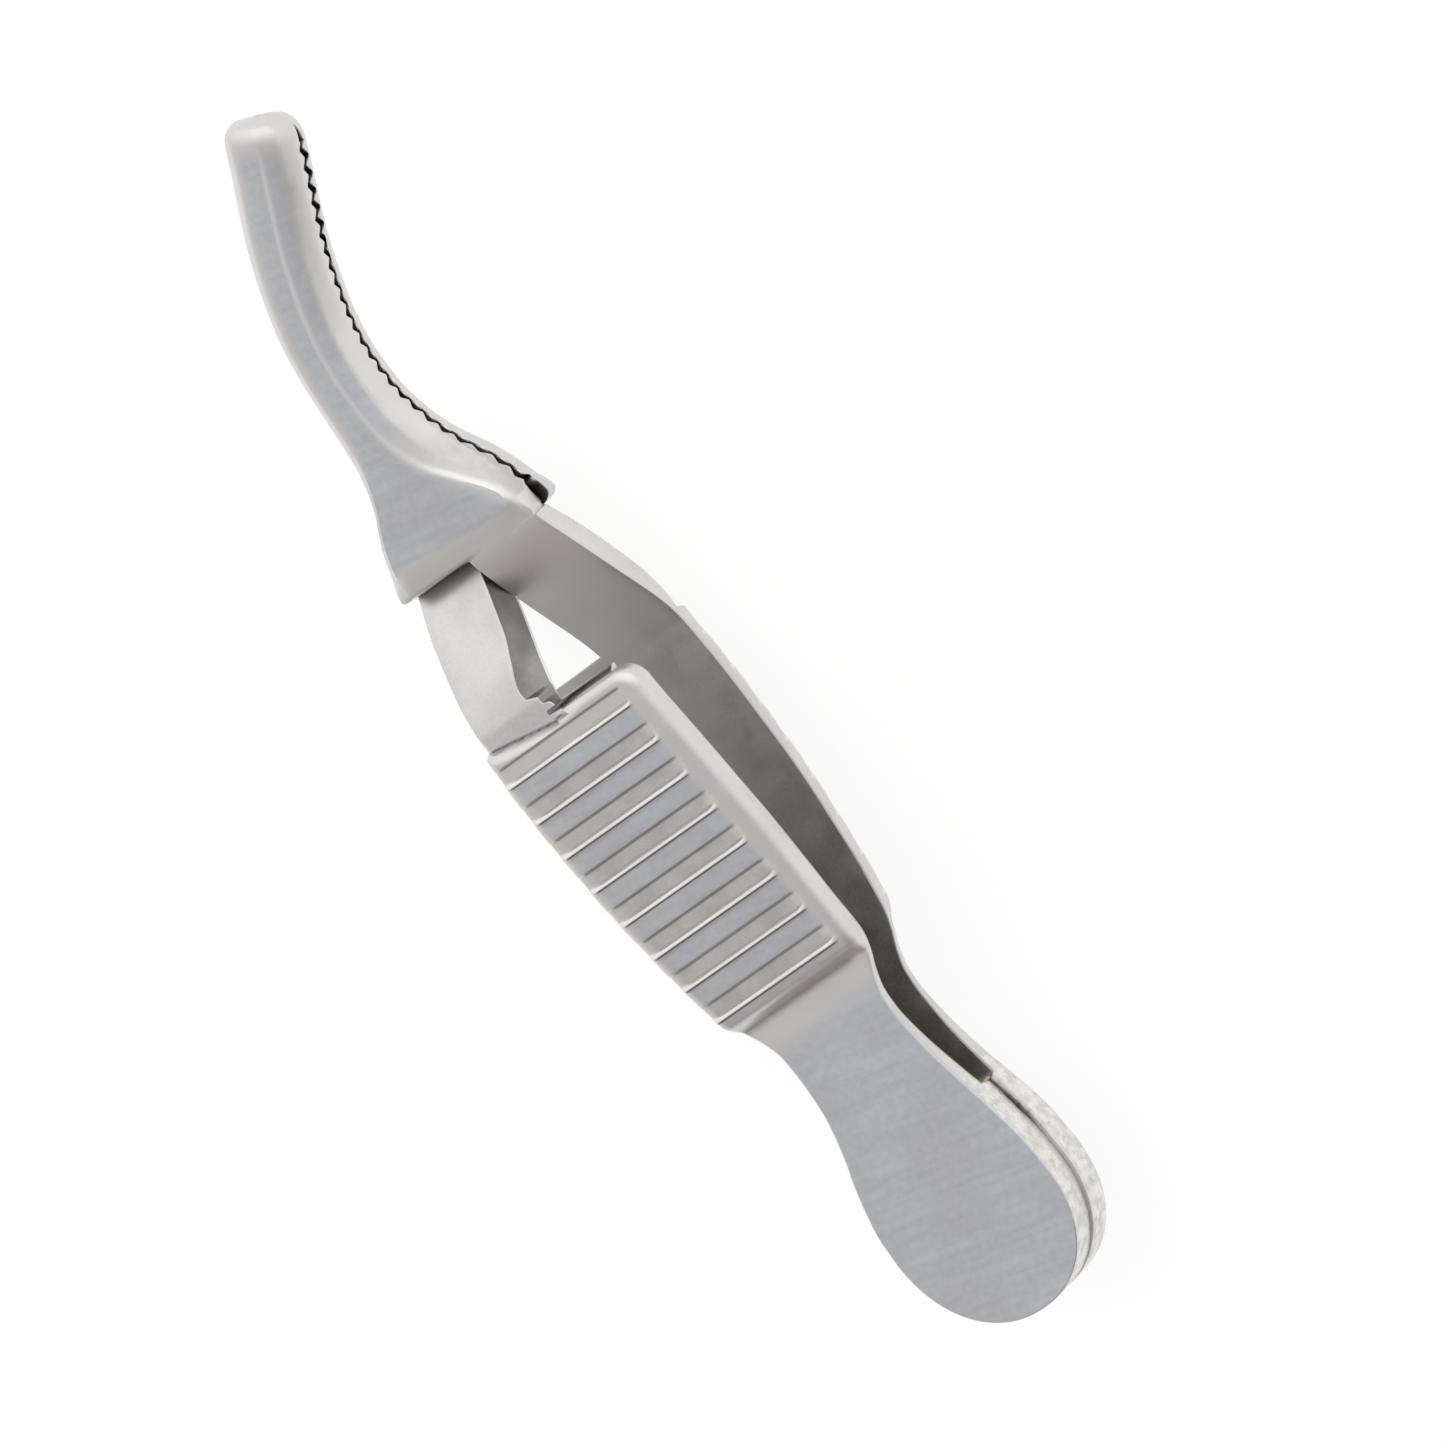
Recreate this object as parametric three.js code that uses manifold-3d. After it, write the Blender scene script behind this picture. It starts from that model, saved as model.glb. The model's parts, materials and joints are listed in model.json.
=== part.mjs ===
// Curved cross-action bulldog clamp, 50 mm long.
//
// Two sprung steel leaves are brazed together at a round tail. From there each leaf runs out as a
// thin neck, a ribbed grip plate and a stem half as wide as the plate. The two stems pass beside
// each other, so the jaw of the upper leaf lies below and the jaw of the lower leaf lies above.
// Squeezing the grip plates together opens the jaws, and letting go closes them.
//
// Millimetres. +Y runs from the tail to the jaws, +X to the side that the jaws bend to, +Z up.
// The two leaves meet on the plane z = 0 while they are built, and the group is lifted at the end.

import * as THREE from "three";
import { mergeVertices } from "three/addons/utils/BufferGeometryUtils.js";
import Module from "manifold-3d";

const wasm = await Module();
wasm.setup();

// ---- driving dimensions -------------------------------------------------------------------

const TAIL_THICKNESS = 2.5; // both leaves and the braze between them
const SEAM_THICKNESS = 0.12; // braze film
const SEAM_INSET = 0.15; // how far the film stays back from the leaves' edges
const SLOT_START = 7.6; // where the leaves part
const SLOT_HALF_GAP = 0.42; // half the slot's height at its blunt end

const HINGE_Y = 10.6; // middle of the flexing neck
const HINGE_GAP = 0.1; // between the still half of the neck and the moving half
const PLATE_START = 13.75;
const PLATE_COVE = 0.5; // length of the cove that climbs from the neck to the plate
const COVE_BEND_SHARE = 0.6; // how far along the cove its shallow part ends
const COVE_BEND_RISE = 0.14; // how far it has climbed there
const COVE_TOP_DROP = 0.06; // how far the cove's top corner is eased
const PLATE_END = 27.2;
const PLATE_THICKNESS = 0.9;
const PLATE_LIP = 0.35; // the plate's lower lip runs this much past its top face
const LIP_THICKNESS = 0.45;

const GROOVE_COUNT = 8;
const GROOVE_FIRST = 14.75; // tailward wall of the first groove
const GROOVE_PITCH = 1.56;
const GROOVE_WIDTH = 0.78;
const GROOVE_DEPTH = 0.2;
const GROOVE_LENGTH = 5.66;

const STEM_INNER_EDGE = 0.22; // each stem's cut side stands this far off the middle
const JAW_START = 33.1;
const JAW_HEIGHT = 1.3; // from the closing plane to the crown
const JAW_GAP = 0.34; // between the two saw-tooth faces when closed
const JAW_SHOULDER = 1.6; // length of the flat root before the crown is fully round
const TIP_LENGTH = 1.3; // rounded end of a jaw
const TIP_BLUNTNESS = 0.12; // squared share of the section that is left at the very tip
const ROOT_CROWN = 0.25; // exponent of the crown's section at the root, nearly square
const BAR_CROWN = 0.75; // and along the bar, nearly round
const JAW_STATIONS = 22; // sections along a jaw
const JAW_SIDES = 16; // flats round a section

const TOOTH_PITCH = 0.65;
const TOOTH_COUNT = 24;
const TOOTH_FIRST = 1.3; // along the jaw's centre line
const TOOTH_DEPTH = 0.24;
const TOOTH_FLAT = 0.05; // width left on top of a tooth

const CUT_MARGIN = 1; // how far a cutting solid runs past what it cuts
const FAR = 60; // longer than the clamp

// Plan of a leaf from the tail to the jaw root: its left and right edges as x, y points.
const LEFT_EDGE = [
  [-4.08, 4.1],
  [-3.87, 5.76],
  [-3.46, 7.25],
  [-2.73, 9.23],
  [-2.44, 11.6],
  [-2.62, 13.0],
  [-3.25, 14.2],
  [-3.52, 16.2],
  [-3.68, 20.4],
  [-3.64, 25.2],
  [-3.6, 27.2],
  [-3.5, 30.5],
  [-3.1, 33.3],
];
const RIGHT_EDGE = [
  [3.6, 4.1],
  [3.48, 5.76],
  [3.12, 7.25],
  [2.63, 9.23],
  [2.42, 11.4],
  [2.62, 12.8],
  [3.25, 14.2],
  [3.52, 16.2],
  [3.68, 20.4],
  [3.66, 25.2],
  [3.6, 27.2],
  [3.5, 30.5],
  [3.3, 33.3],
];
const EDGE_STEPS = 40;
const FACE_STEPS = 30; // along the inner face
const TAIL_END_SHARPNESS = 2.2; // exponent of the superellipse that closes the tail

// Side view of the upper leaf: its inner face as y, z points, from the slot to where the grip
// plate goes on level.
const PLATE_GAP = 1.9; // from the closing plane to the level stretch
const INNER_FACE = [
  [SLOT_START, SLOT_HALF_GAP],
  [11.3, 0.81],
  [14.1, 0.9],
  [17.6, 1.35],
  [21, 1.67],
  [23.6, 1.86],
  [25.4, PLATE_GAP],
];
// Side view of the upper leaf's stem: it comes down through the closing plane.
const STEM_TOP = [
  [PLATE_END + PLATE_LIP, PLATE_GAP + LIP_THICKNESS],
  [28.4, 2.2],
  [30.5, 1.28],
  [JAW_START, -0.06],
];
const STEM_BOTTOM = [
  [PLATE_END + PLATE_LIP, PLATE_GAP],
  [28.2, 1.5],
  [30.5, 0.24],
  [JAW_START, -1.12],
];

// Plan of a jaw: its centre line, which starts a little inside the stem, and its half-width at
// even steps along it.
const JAW_CENTRE = [
  [0.1, JAW_START - 0.4],
  [0.14, 35.4],
  [0.04, 38],
  [0.02, 39.6],
  [0.2, 41.3],
  [0.66, 43],
  [1.65, 45.5],
  [3.28, 48.4],
  [4.0, 49.75],
];
const JAW_HALF_WIDTH = [3.18, 3.06, 2.2, 1.66, 1.47, 1.42, 1.42, 1.43, 1.44, 1.44, 1.44, 1.43];

// ---- finishes -----------------------------------------------------------------------------

const satinSteel = new THREE.MeshStandardMaterial({ color: 0xb4b5ba, roughness: 0.42, metalness: 1 });
const ribbedSteel = new THREE.MeshStandardMaterial({ color: 0xb0b1b6, roughness: 0.5, metalness: 1 });
const brazeAlloy = new THREE.MeshStandardMaterial({ color: 0x8d8274, roughness: 0.65, metalness: 0.9 });

// ---- helpers ------------------------------------------------------------------------------

// A closed geometry as a solid that can be joined and cut.
function solid(geometry) {
  const bare = new THREE.BufferGeometry();
  bare.setAttribute("position", geometry.attributes.position.clone());
  if (geometry.index) bare.setIndex(geometry.index.clone());
  const merged = mergeVertices(bare, 1e-5);
  return new wasm.Manifold(
    new wasm.Mesh({
      numProp: 3,
      vertProperties: new Float32Array(merged.attributes.position.array),
      triVerts: new Uint32Array(merged.index.array),
    }),
  );
}

// A solid as a named mesh.
function mesh(name, body, material) {
  const made = body.getMesh();
  const geometry = new THREE.BufferGeometry();
  geometry.setAttribute("position", new THREE.BufferAttribute(made.vertProperties, 3));
  geometry.setIndex(new THREE.BufferAttribute(made.triVerts, 1));
  geometry.computeVertexNormals();
  const piece = new THREE.Mesh(geometry, material);
  piece.name = name;
  return piece;
}

// Points of a smooth curve through x, y pairs.
function smooth(pairs, steps) {
  return new THREE.SplineCurve(pairs.map(([x, y]) => new THREE.Vector2(x, y))).getPoints(steps);
}

// A solid standing on the plan outline, from the height low to the height high.
function standing(outline, low, high) {
  const geometry = new THREE.ExtrudeGeometry(new THREE.Shape(outline), {
    depth: high - low,
    bevelEnabled: false,
  });
  return solid(geometry.translate(0, 0, low));
}

// A solid with the side view outline (y, z), from the left x to the right x.
function sideways(outline, left, right) {
  const geometry = new THREE.ExtrudeGeometry(new THREE.Shape(outline), {
    depth: right - left,
    bevelEnabled: false,
  });
  // The extrusion's x, y, z become y, z, x, which turns the shape without mirroring it.
  const turn = new THREE.Matrix4().makeBasis(
    new THREE.Vector3(0, 1, 0),
    new THREE.Vector3(0, 0, 1),
    new THREE.Vector3(1, 0, 0),
  );
  return solid(geometry.applyMatrix4(turn).translate(left, 0, 0));
}

// A box from one corner to the opposite one.
function block(low, high) {
  const size = high.map((top, i) => top - low[i]);
  const geometry = new THREE.BoxGeometry(...size);
  return solid(geometry.translate(...low.map((bottom, i) => bottom + size[i] / 2)));
}

// The part of a solid between two places along the clamp.
function between(body, from, to) {
  return body.intersect(block([-FAR, from, -FAR], [FAR, to, FAR]));
}

const flat = (value) => new THREE.Vector2(...value);

// ---- plan of a leaf -----------------------------------------------------------------------

// The round end of the tail, from its left edge round to its right edge.
function tailEnd(inset) {
  const [left, depth] = LEFT_EDGE[0];
  const [right] = RIGHT_EDGE[0];
  const centre = (left + right) / 2;
  const halfWidth = (right - left) / 2 - inset;
  const steps = 18;
  const power = 2 / TAIL_END_SHARPNESS;
  return Array.from({ length: steps - 1 }, (_, i) => {
    const angle = Math.PI * ((i + 1) / steps);
    return new THREE.Vector2(
      centre - halfWidth * Math.sign(Math.cos(angle)) * Math.abs(Math.cos(angle)) ** power,
      depth - (depth - inset) * Math.sin(angle) ** power,
    );
  });
}

// The whole leaf seen from above, with full-width stems.
function leafPlan() {
  return [
    ...smooth(LEFT_EDGE, EDGE_STEPS).reverse(),
    ...tailEnd(0),
    ...smooth(RIGHT_EDGE, EDGE_STEPS),
  ];
}

// The braze film seen from above: the tail's outline drawn in, up to just short of the slot.
function seamPlan() {
  const drawnIn = (edge) =>
    smooth(edge, EDGE_STEPS)
      .filter((point) => point.y < SLOT_START - SEAM_INSET)
      .map((point) => flat([point.x - Math.sign(point.x) * SEAM_INSET, point.y]));
  return [...drawnIn(LEFT_EDGE).reverse(), ...tailEnd(SEAM_INSET), ...drawnIn(RIGHT_EDGE)];
}

// ---- pieces of a leaf, drawn for the upper one -----------------------------------------------

const plan = standing(leafPlan(), -FAR, FAR);
const innerFace = [...smooth(INNER_FACE, FACE_STEPS), flat([PLATE_END + PLATE_LIP, PLATE_GAP])];
const outerHeight = TAIL_THICKNESS / 2;
const seamHeight = SEAM_THICKNESS / 2;

// The height of the inner face at a place along the clamp.
function innerAt(y) {
  const next = Math.max(1, innerFace.findIndex((point) => point.x >= y));
  const [a, b] = [innerFace[next - 1], innerFace[next]];
  return THREE.MathUtils.mapLinear(y, a.x, b.x, a.y, b.y);
}

// Tail and neck as one strip, with the outer face flat.
function strip(from, to) {
  const outline = [
    flat([-CUT_MARGIN, seamHeight]),
    flat([SLOT_START, seamHeight]),
    ...innerFace,
    flat([PLATE_END + PLATE_LIP, outerHeight + FAR]),
    flat([-CUT_MARGIN, outerHeight + FAR]),
  ];
  const roof = block([-FAR, -FAR, -FAR], [FAR, FAR, outerHeight]);
  const body = plan.intersect(sideways(outline, -FAR, FAR)).intersect(roof);
  return between(body, from, to);
}

// The grip plate: a thicker, bowed plate with a cove at its tail end and a lip at its jaw end.
function gripPlate() {
  const coveEnd = PLATE_START + PLATE_COVE;
  const inner = innerFace.filter((point) => point.x > PLATE_START);
  const outer = inner
    .filter((point) => point.x > coveEnd && point.x < PLATE_END)
    .map((point) => flat([point.x, point.y + PLATE_THICKNESS]));
  const lipTop = innerAt(PLATE_END) + LIP_THICKNESS;
  const outline = [
    flat([PLATE_START, innerAt(PLATE_START)]),
    ...inner,
    flat([PLATE_END + PLATE_LIP, lipTop]),
    flat([PLATE_END, lipTop]),
    flat([PLATE_END, innerAt(PLATE_END) + PLATE_THICKNESS]),
    ...outer.reverse(),
    flat([coveEnd, innerAt(coveEnd) + PLATE_THICKNESS - COVE_TOP_DROP]),
    flat([PLATE_START + PLATE_COVE * COVE_BEND_SHARE, outerHeight + COVE_BEND_RISE]),
    flat([PLATE_START, outerHeight]),
  ];
  const plate = plan.intersect(sideways(outline, -FAR, FAR));
  return gripGrooves().reduce((body, groove) => body.subtract(groove), plate);
}

// The cross grooves of a grip plate.
function gripGrooves() {
  return Array.from({ length: GROOVE_COUNT }, (_, i) => {
    const tailward = GROOVE_FIRST + i * GROOVE_PITCH;
    const middle = tailward + GROOVE_WIDTH / 2;
    const rise = innerAt(middle + GROOVE_WIDTH / 2) - innerAt(middle - GROOVE_WIDTH / 2);
    const height = 2 * GROOVE_DEPTH;
    const box = new THREE.BoxGeometry(GROOVE_LENGTH, GROOVE_WIDTH, height);
    box.rotateX(Math.atan2(rise, GROOVE_WIDTH));
    return solid(box.translate(0, middle, innerAt(middle) + PLATE_THICKNESS));
  });
}

// The stem: a half-width strip that slopes down through the closing plane to the jaw root.
// side is -1 where the stem runs on the left, 1 where it runs on the right.
function stem(side) {
  const steps = 12;
  const outline = [...smooth(STEM_BOTTOM, steps), ...smooth(STEM_TOP, steps).reverse()];
  const near = side * STEM_INNER_EDGE;
  const far = side * FAR;
  return plan.intersect(sideways(outline, Math.min(near, far), Math.max(near, far)));
}

// ---- jaw ------------------------------------------------------------------------------------

const jawRoute = new THREE.SplineCurve(JAW_CENTRE.map(flat));
const jawWidths = new THREE.SplineCurve(
  JAW_HALF_WIDTH.map((half, i) => flat([i / (JAW_HALF_WIDTH.length - 1), half])),
);
const jawLength = jawRoute.getLength();

// A place on the jaw's centre line, with the level direction across the jaw to its right.
function jawStation(along) {
  const share = along / jawLength;
  const direction = jawRoute.getTangentAt(share);
  return { at: jawRoute.getPointAt(share), across: flat([direction.y, -direction.x]) };
}

// A jaw without teeth: a bar with a flat closing face above and a crown below.
function jawBar(closingFace) {
  const bar = new THREE.CylinderGeometry(1, 1, 1, JAW_SIDES, JAW_STATIONS);
  const place = bar.attributes.position;
  for (let i = 0; i < place.count; i += 1) {
    const share = place.getY(i) + 0.5;
    const along = jawLength * share;
    const { at, across } = jawStation(along);
    const left = Math.max(0, along - (jawLength - TIP_LENGTH)) / TIP_LENGTH;
    const tip = Math.sqrt(Math.max(TIP_BLUNTNESS, 1 - left ** 2));
    const root = THREE.MathUtils.smoothstep(along, 0, JAW_SHOULDER);
    const crownPower = THREE.MathUtils.lerp(ROOT_CROWN, BAR_CROWN, root);
    const half = jawWidths.getPoint(share).y * tip;
    const sideStep = -place.getX(i) * half;
    const drop = Math.max(0, -place.getZ(i)) ** crownPower * (JAW_HEIGHT * tip + closingFace);
    place.setXYZ(i, at.x - across.x * sideStep, at.y - across.y * sideStep, closingFace - drop);
  }
  return between(solid(bar), JAW_START, FAR);
}

// One saw-tooth notch across the jaw.
function notch(along, closingFace) {
  const { at, across } = jawStation(along);
  const half = (TOOTH_PITCH - TOOTH_FLAT) / 2;
  const reach = 2 * JAW_HALF_WIDTH[0];
  const vee = new THREE.Shape([
    flat([-half, closingFace]),
    flat([0, closingFace - TOOTH_DEPTH]),
    flat([half, closingFace]),
    flat([half, closingFace + CUT_MARGIN]),
    flat([-half, closingFace + CUT_MARGIN]),
  ]);
  const prism = new THREE.ExtrudeGeometry(vee, { depth: 2 * reach, bevelEnabled: false });
  prism.translate(0, 0, -reach);
  // The vee's x, y and length become along the jaw, up, and across the jaw.
  const turn = new THREE.Matrix4().makeBasis(
    new THREE.Vector3(-across.y, across.x, 0),
    new THREE.Vector3(0, 0, 1),
    new THREE.Vector3(across.x, across.y, 0),
  );
  return solid(prism.applyMatrix4(turn).translate(at.x, at.y, 0));
}

// A toothed jaw. phase is how far its notches are moved along, so that two jaws mesh.
function jaw(phase) {
  const closingFace = TOOTH_DEPTH / 2 - JAW_GAP / 2;
  const notches = Array.from({ length: TOOTH_COUNT }, (_, i) =>
    notch(TOOTH_FIRST + phase + i * TOOTH_PITCH, closingFace),
  );
  return notches.reduce((body, cut) => body.subtract(cut), jawBar(closingFace));
}

// ---- assembly ---------------------------------------------------------------------------------

// One leaf. Its own plate is named after its place, and its jaw after the place it crosses to.
function leaf(own, opposite, stemSide, phase) {
  const group = new THREE.Group();
  group.add(
    mesh("tail_pad_" + own, strip(-CUT_MARGIN, HINGE_Y - HINGE_GAP / 2), satinSteel),
    mesh("spring_neck_" + own, strip(HINGE_Y + HINGE_GAP / 2, PLATE_START), satinSteel),
    mesh("grip_plate_" + own, gripPlate(), ribbedSteel),
    mesh("crossing_stem_" + own, stem(stemSide), satinSteel),
    mesh("jaw_" + opposite, jaw(phase), satinSteel),
  );
  return group;
}

const clamp = new THREE.Group();
const upperLeaf = leaf("upper", "lower", -1, 0);
const lowerLeaf = leaf("lower", "upper", 1, TOOTH_PITCH / 2);
lowerLeaf.scale.z = -1;
const seam = mesh("braze_seam", standing(seamPlan(), -seamHeight, seamHeight), brazeAlloy);
clamp.add(upperLeaf, lowerLeaf, seam);

// The origin goes under the middle of the clamp's box.
const box = new THREE.Box3().setFromObject(clamp);
const middle = box.getCenter(new THREE.Vector3());
clamp.position.set(-middle.x, -middle.y, -box.min.z);

export default clamp;
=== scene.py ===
"""Curved cross-action bulldog clamp: two forged steel leaves brazed together at the tail.

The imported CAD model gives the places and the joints. This script gives each leaf its fine forged
shape, its ribs, its saw teeth and its satin, ground, milled and sawn finishes.

Shapes are worked out in millimetres in the maker's own frame: y runs from the tail's end to the
jaw tips, x to the side that the jaws bend to, and z up from the plane where the leaves meet. The
place along a leaf is called t. A ramp is the two places between which something sets in.
"""

import json
import logging
import math
from dataclasses import dataclass, field
from enum import Enum
from typing import Callable, Optional, Union

import bmesh
import bpy
from mathutils import Matrix, Vector, noise


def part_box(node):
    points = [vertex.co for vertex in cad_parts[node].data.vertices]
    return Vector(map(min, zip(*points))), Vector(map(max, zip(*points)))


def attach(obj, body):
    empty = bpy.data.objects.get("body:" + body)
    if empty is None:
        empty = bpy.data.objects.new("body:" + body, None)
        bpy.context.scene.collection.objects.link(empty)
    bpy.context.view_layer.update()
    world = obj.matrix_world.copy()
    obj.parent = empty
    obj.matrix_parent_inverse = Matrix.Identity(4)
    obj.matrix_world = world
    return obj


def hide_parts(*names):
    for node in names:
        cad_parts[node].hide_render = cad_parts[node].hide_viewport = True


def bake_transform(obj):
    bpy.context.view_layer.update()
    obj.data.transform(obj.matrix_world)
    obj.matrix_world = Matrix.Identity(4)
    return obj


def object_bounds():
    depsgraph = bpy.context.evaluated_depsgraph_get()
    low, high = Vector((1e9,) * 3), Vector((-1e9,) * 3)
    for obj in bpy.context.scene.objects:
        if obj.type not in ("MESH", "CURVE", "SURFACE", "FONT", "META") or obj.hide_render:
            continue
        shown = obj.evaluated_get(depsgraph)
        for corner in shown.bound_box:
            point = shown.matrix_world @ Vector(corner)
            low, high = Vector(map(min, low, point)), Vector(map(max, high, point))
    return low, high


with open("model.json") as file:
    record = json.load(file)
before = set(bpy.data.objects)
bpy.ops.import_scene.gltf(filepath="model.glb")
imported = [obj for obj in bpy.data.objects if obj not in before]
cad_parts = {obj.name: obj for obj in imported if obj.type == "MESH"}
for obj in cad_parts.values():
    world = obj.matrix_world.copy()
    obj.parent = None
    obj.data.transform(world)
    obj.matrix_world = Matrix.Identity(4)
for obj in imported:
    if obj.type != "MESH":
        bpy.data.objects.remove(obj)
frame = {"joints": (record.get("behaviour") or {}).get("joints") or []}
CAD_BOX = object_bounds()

MM = 0.001
log = logging.getLogger("bulldog_clamp")

Pair = tuple[float, float]
Triple = tuple[float, float, float]


# ---- places ---------------------------------------------------------------------------------


@dataclass(frozen=True)
class Datum:
    """Where the maker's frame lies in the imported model.

    Attributes:
        tail_end: how far along Y the tail's round end is, in metres.
        middle: how far along X the clamp's middle line is, in metres.
        meeting: the height of the plane where the two leaves meet, in metres.
    """

    tail_end: float
    middle: float
    meeting: float

    @classmethod
    def from_frame(cls) -> "Datum":
        """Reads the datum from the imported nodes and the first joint.

        Returns:
            The datum.
        """
        low, high = CAD_BOX
        hinge = frame["joints"][0]["pos_m"]
        return cls(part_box("tail_pad_upper")[0].y, hinge[0], (low.z + high.z) / 2)

    def place(self, x: float, y: float, z: float) -> Vector:
        """Turns a place in the maker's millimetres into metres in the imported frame."""
        return Vector((self.middle + x * MM, self.tail_end + y * MM, self.meeting + z * MM))


# ---- curves ---------------------------------------------------------------------------------


class Curve:
    """A smooth value along the clamp that passes through a few knots and never overshoots them."""

    def __init__(self, *knots: Pair) -> None:
        """Stores the knots and works out the slope at each one.

        Args:
            knots: pairs of a place and the value there, in order of place.
        """
        self.places = [knot[0] for knot in knots]
        self.values = [knot[1] for knot in knots]
        self.slopes = self._slopes()

    def _slopes(self) -> list[float]:
        """Slopes at the knots, by the harmonic mean of the chords, or 0 where the value turns.

        Returns:
            One slope for each knot.
        """
        steps = [b - a for a, b in zip(self.places, self.places[1:])]
        chords = [(b - a) / step for a, b, step in zip(self.values, self.values[1:], steps)]
        inner = [
            0.0 if one * two <= 0 else 2 * one * two / (one + two)
            for one, two in zip(chords, chords[1:])
        ]
        return [chords[0], *inner, chords[-1]]

    def __call__(self, place: float) -> float:
        """The value at a place, held level past the first and last knots.

        Args:
            place: the place along the clamp.

        Returns:
            The value.
        """
        if place <= self.places[0]:
            return self.values[0]
        if place >= self.places[-1]:
            return self.values[-1]
        i = max(k for k, knot in enumerate(self.places) if knot <= place)
        width = self.places[i + 1] - self.places[i]
        s = (place - self.places[i]) / width
        value = mix(self.values[i], self.values[i + 1], s * s * (3 - 2 * s))
        value += self.slopes[i] * width * s * (1 - s) ** 2
        return value - self.slopes[i + 1] * width * s * s * (1 - s)


def smoothstep(low: float, high: float, value: float) -> float:
    """Rises smoothly from 0 at low to 1 at high, whichever of the two is larger."""
    share = min(1.0, max(0.0, (value - low) / (high - low)))
    return share * share * (3 - 2 * share)


def mix(a: float, b: float, share: float) -> float:
    """The value a share of the way from a to b."""
    return a + (b - a) * share


def mix_pairs(a: Pair, b: Pair, share: float) -> Pair:
    """The point a share of the way from a to b."""
    return mix(a[0], b[0], share), mix(a[1], b[1], share)


def swollen(wave: float, power: float) -> float:
    """A sine or cosine made fuller by a low power, with its sign kept."""
    return math.copysign(abs(wave) ** power, wave)


def spread(start: float, stop: float, step: float) -> list[float]:
    """Even places from start to stop, no further apart than step."""
    count = max(1, math.ceil((stop - start) / step))
    return [mix(start, stop, i / count) for i in range(count + 1)]


def bunched(steps: int) -> list[float]:
    """Shares from 0 to 1 that lie closest together at 0, as on a quarter round."""
    return [1 - math.cos(math.pi / 2 * i / steps) for i in range(steps + 1)]


def rounding(radius: float, near: float) -> float:
    """How far a rim of that radius has dropped at a place so near the edge."""
    near = min(radius, max(0.0, near))
    return radius - math.sqrt(max(0.0, radius ** 2 - (radius - near) ** 2))


# ---- the leaf's form ------------------------------------------------------------------------


class Place(Enum):
    """Which of the two leaves, by where its grip plate lies."""

    UPPER = 1
    LOWER = -1


class Face(Enum):
    """The two broad faces of a leaf: the one turned outwards at the grip plate, and the other."""

    OUTER = "outer"
    INNER = "inner"


@dataclass(frozen=True)
class Grooves:
    """The cross grooves of a grip plate, in millimetres.

    The wall nearer the tail is steep with a fine burr along its top, and the other climbs gently.
    The last groove keeps its depth further across than the others, and ends more steeply.
    """

    count: int = 8
    first: float = 14.75
    pitch: float = 1.56
    width: float = 0.8
    depth: float = 0.19
    steep: float = 0.2
    gentle: float = 0.16
    burr: float = 0.035
    burr_run: float = 0.08
    free_end: Pair = (3.0, 2.4)
    last_free_end: Pair = (2.78, 2.64)
    near_low: tuple[float, ...] = (-0.08, -0.04, 0.0, 0.06, 0.13, 0.2, 0.24)
    near_high: tuple[float, ...] = (-0.21, -0.16, -0.1, -0.06, -0.02, 0.02)

    def walls(self) -> list[Pair]:
        """The tailward and jawward edge of each groove."""
        starts = [self.first + i * self.pitch for i in range(self.count)]
        return [(start, start + self.width) for start in starts]

    def depth_at(self, x: float, y: float) -> float:
        """How deep the plate is cut at a place, below zero on the burr.

        Args:
            x: the place across the plate.
            y: the place along it.

        Returns:
            The depth in millimetres.
        """
        is_last = y >= self.walls()[-1][0] - self.burr_run
        across = smoothstep(*(self.last_free_end if is_last else self.free_end), x)
        for low, high in self.walls():
            if low - self.burr_run <= y <= low:
                return -self.burr * across * (1 - (low - y) / self.burr_run)
            if low <= y <= high:
                tailward = min(1.0, (y - low) / self.steep)
                jawward = smoothstep(high, high - self.gentle, y)
                return across * mix(-self.burr, self.depth * min(tailward, jawward), tailward)
        return 0.0

    def stations(self) -> list[float]:
        """Places along the plate that catch every groove edge.

        Returns:
            The places, groove by groove.
        """
        steps = (self.near_low, self.near_high)
        return [
            edge + step for walls in self.walls() for edge, near in zip(walls, steps) for step in near
        ]


@dataclass(frozen=True)
class Teeth:
    """The saw teeth across a closing face, in millimetres along the jaw."""

    first: float = 33.95
    last: float = 49.3
    pitch: float = 0.645
    height: float = 0.24
    bluntness: float = 0.5
    fade: float = 0.12
    cuts: tuple[float, ...] = (
        0.0, 0.025, 0.14, 0.25, 0.36, 0.475, 0.5, 0.525, 0.64, 0.75, 0.86, 0.975,
    )

    def wave(self, along: float) -> float:
        """The zigzag from -1 to 1 at a place along the jaw, level outside the toothed stretch.

        Args:
            along: the place along the jaw.

        Returns:
            The wave's height, from -1 to 1.
        """
        phase = ((along - self.first) / self.pitch) % 1.0
        zigzag = 1 - 4 * abs(phase - 0.5)
        blunt = mix(zigzag, math.sin(math.pi / 2 * zigzag), self.bluntness)
        inside = smoothstep(self.first - self.fade, self.first, along)
        return blunt * inside * smoothstep(self.last + self.fade, self.last, along)

    def stations(self) -> list[float]:
        """Places that catch each crest, each root and the flanks between them."""
        count = round((self.last - self.first) / self.pitch)
        return [self.first + (i + share) * self.pitch for i in range(count) for share in self.cuts]


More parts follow.
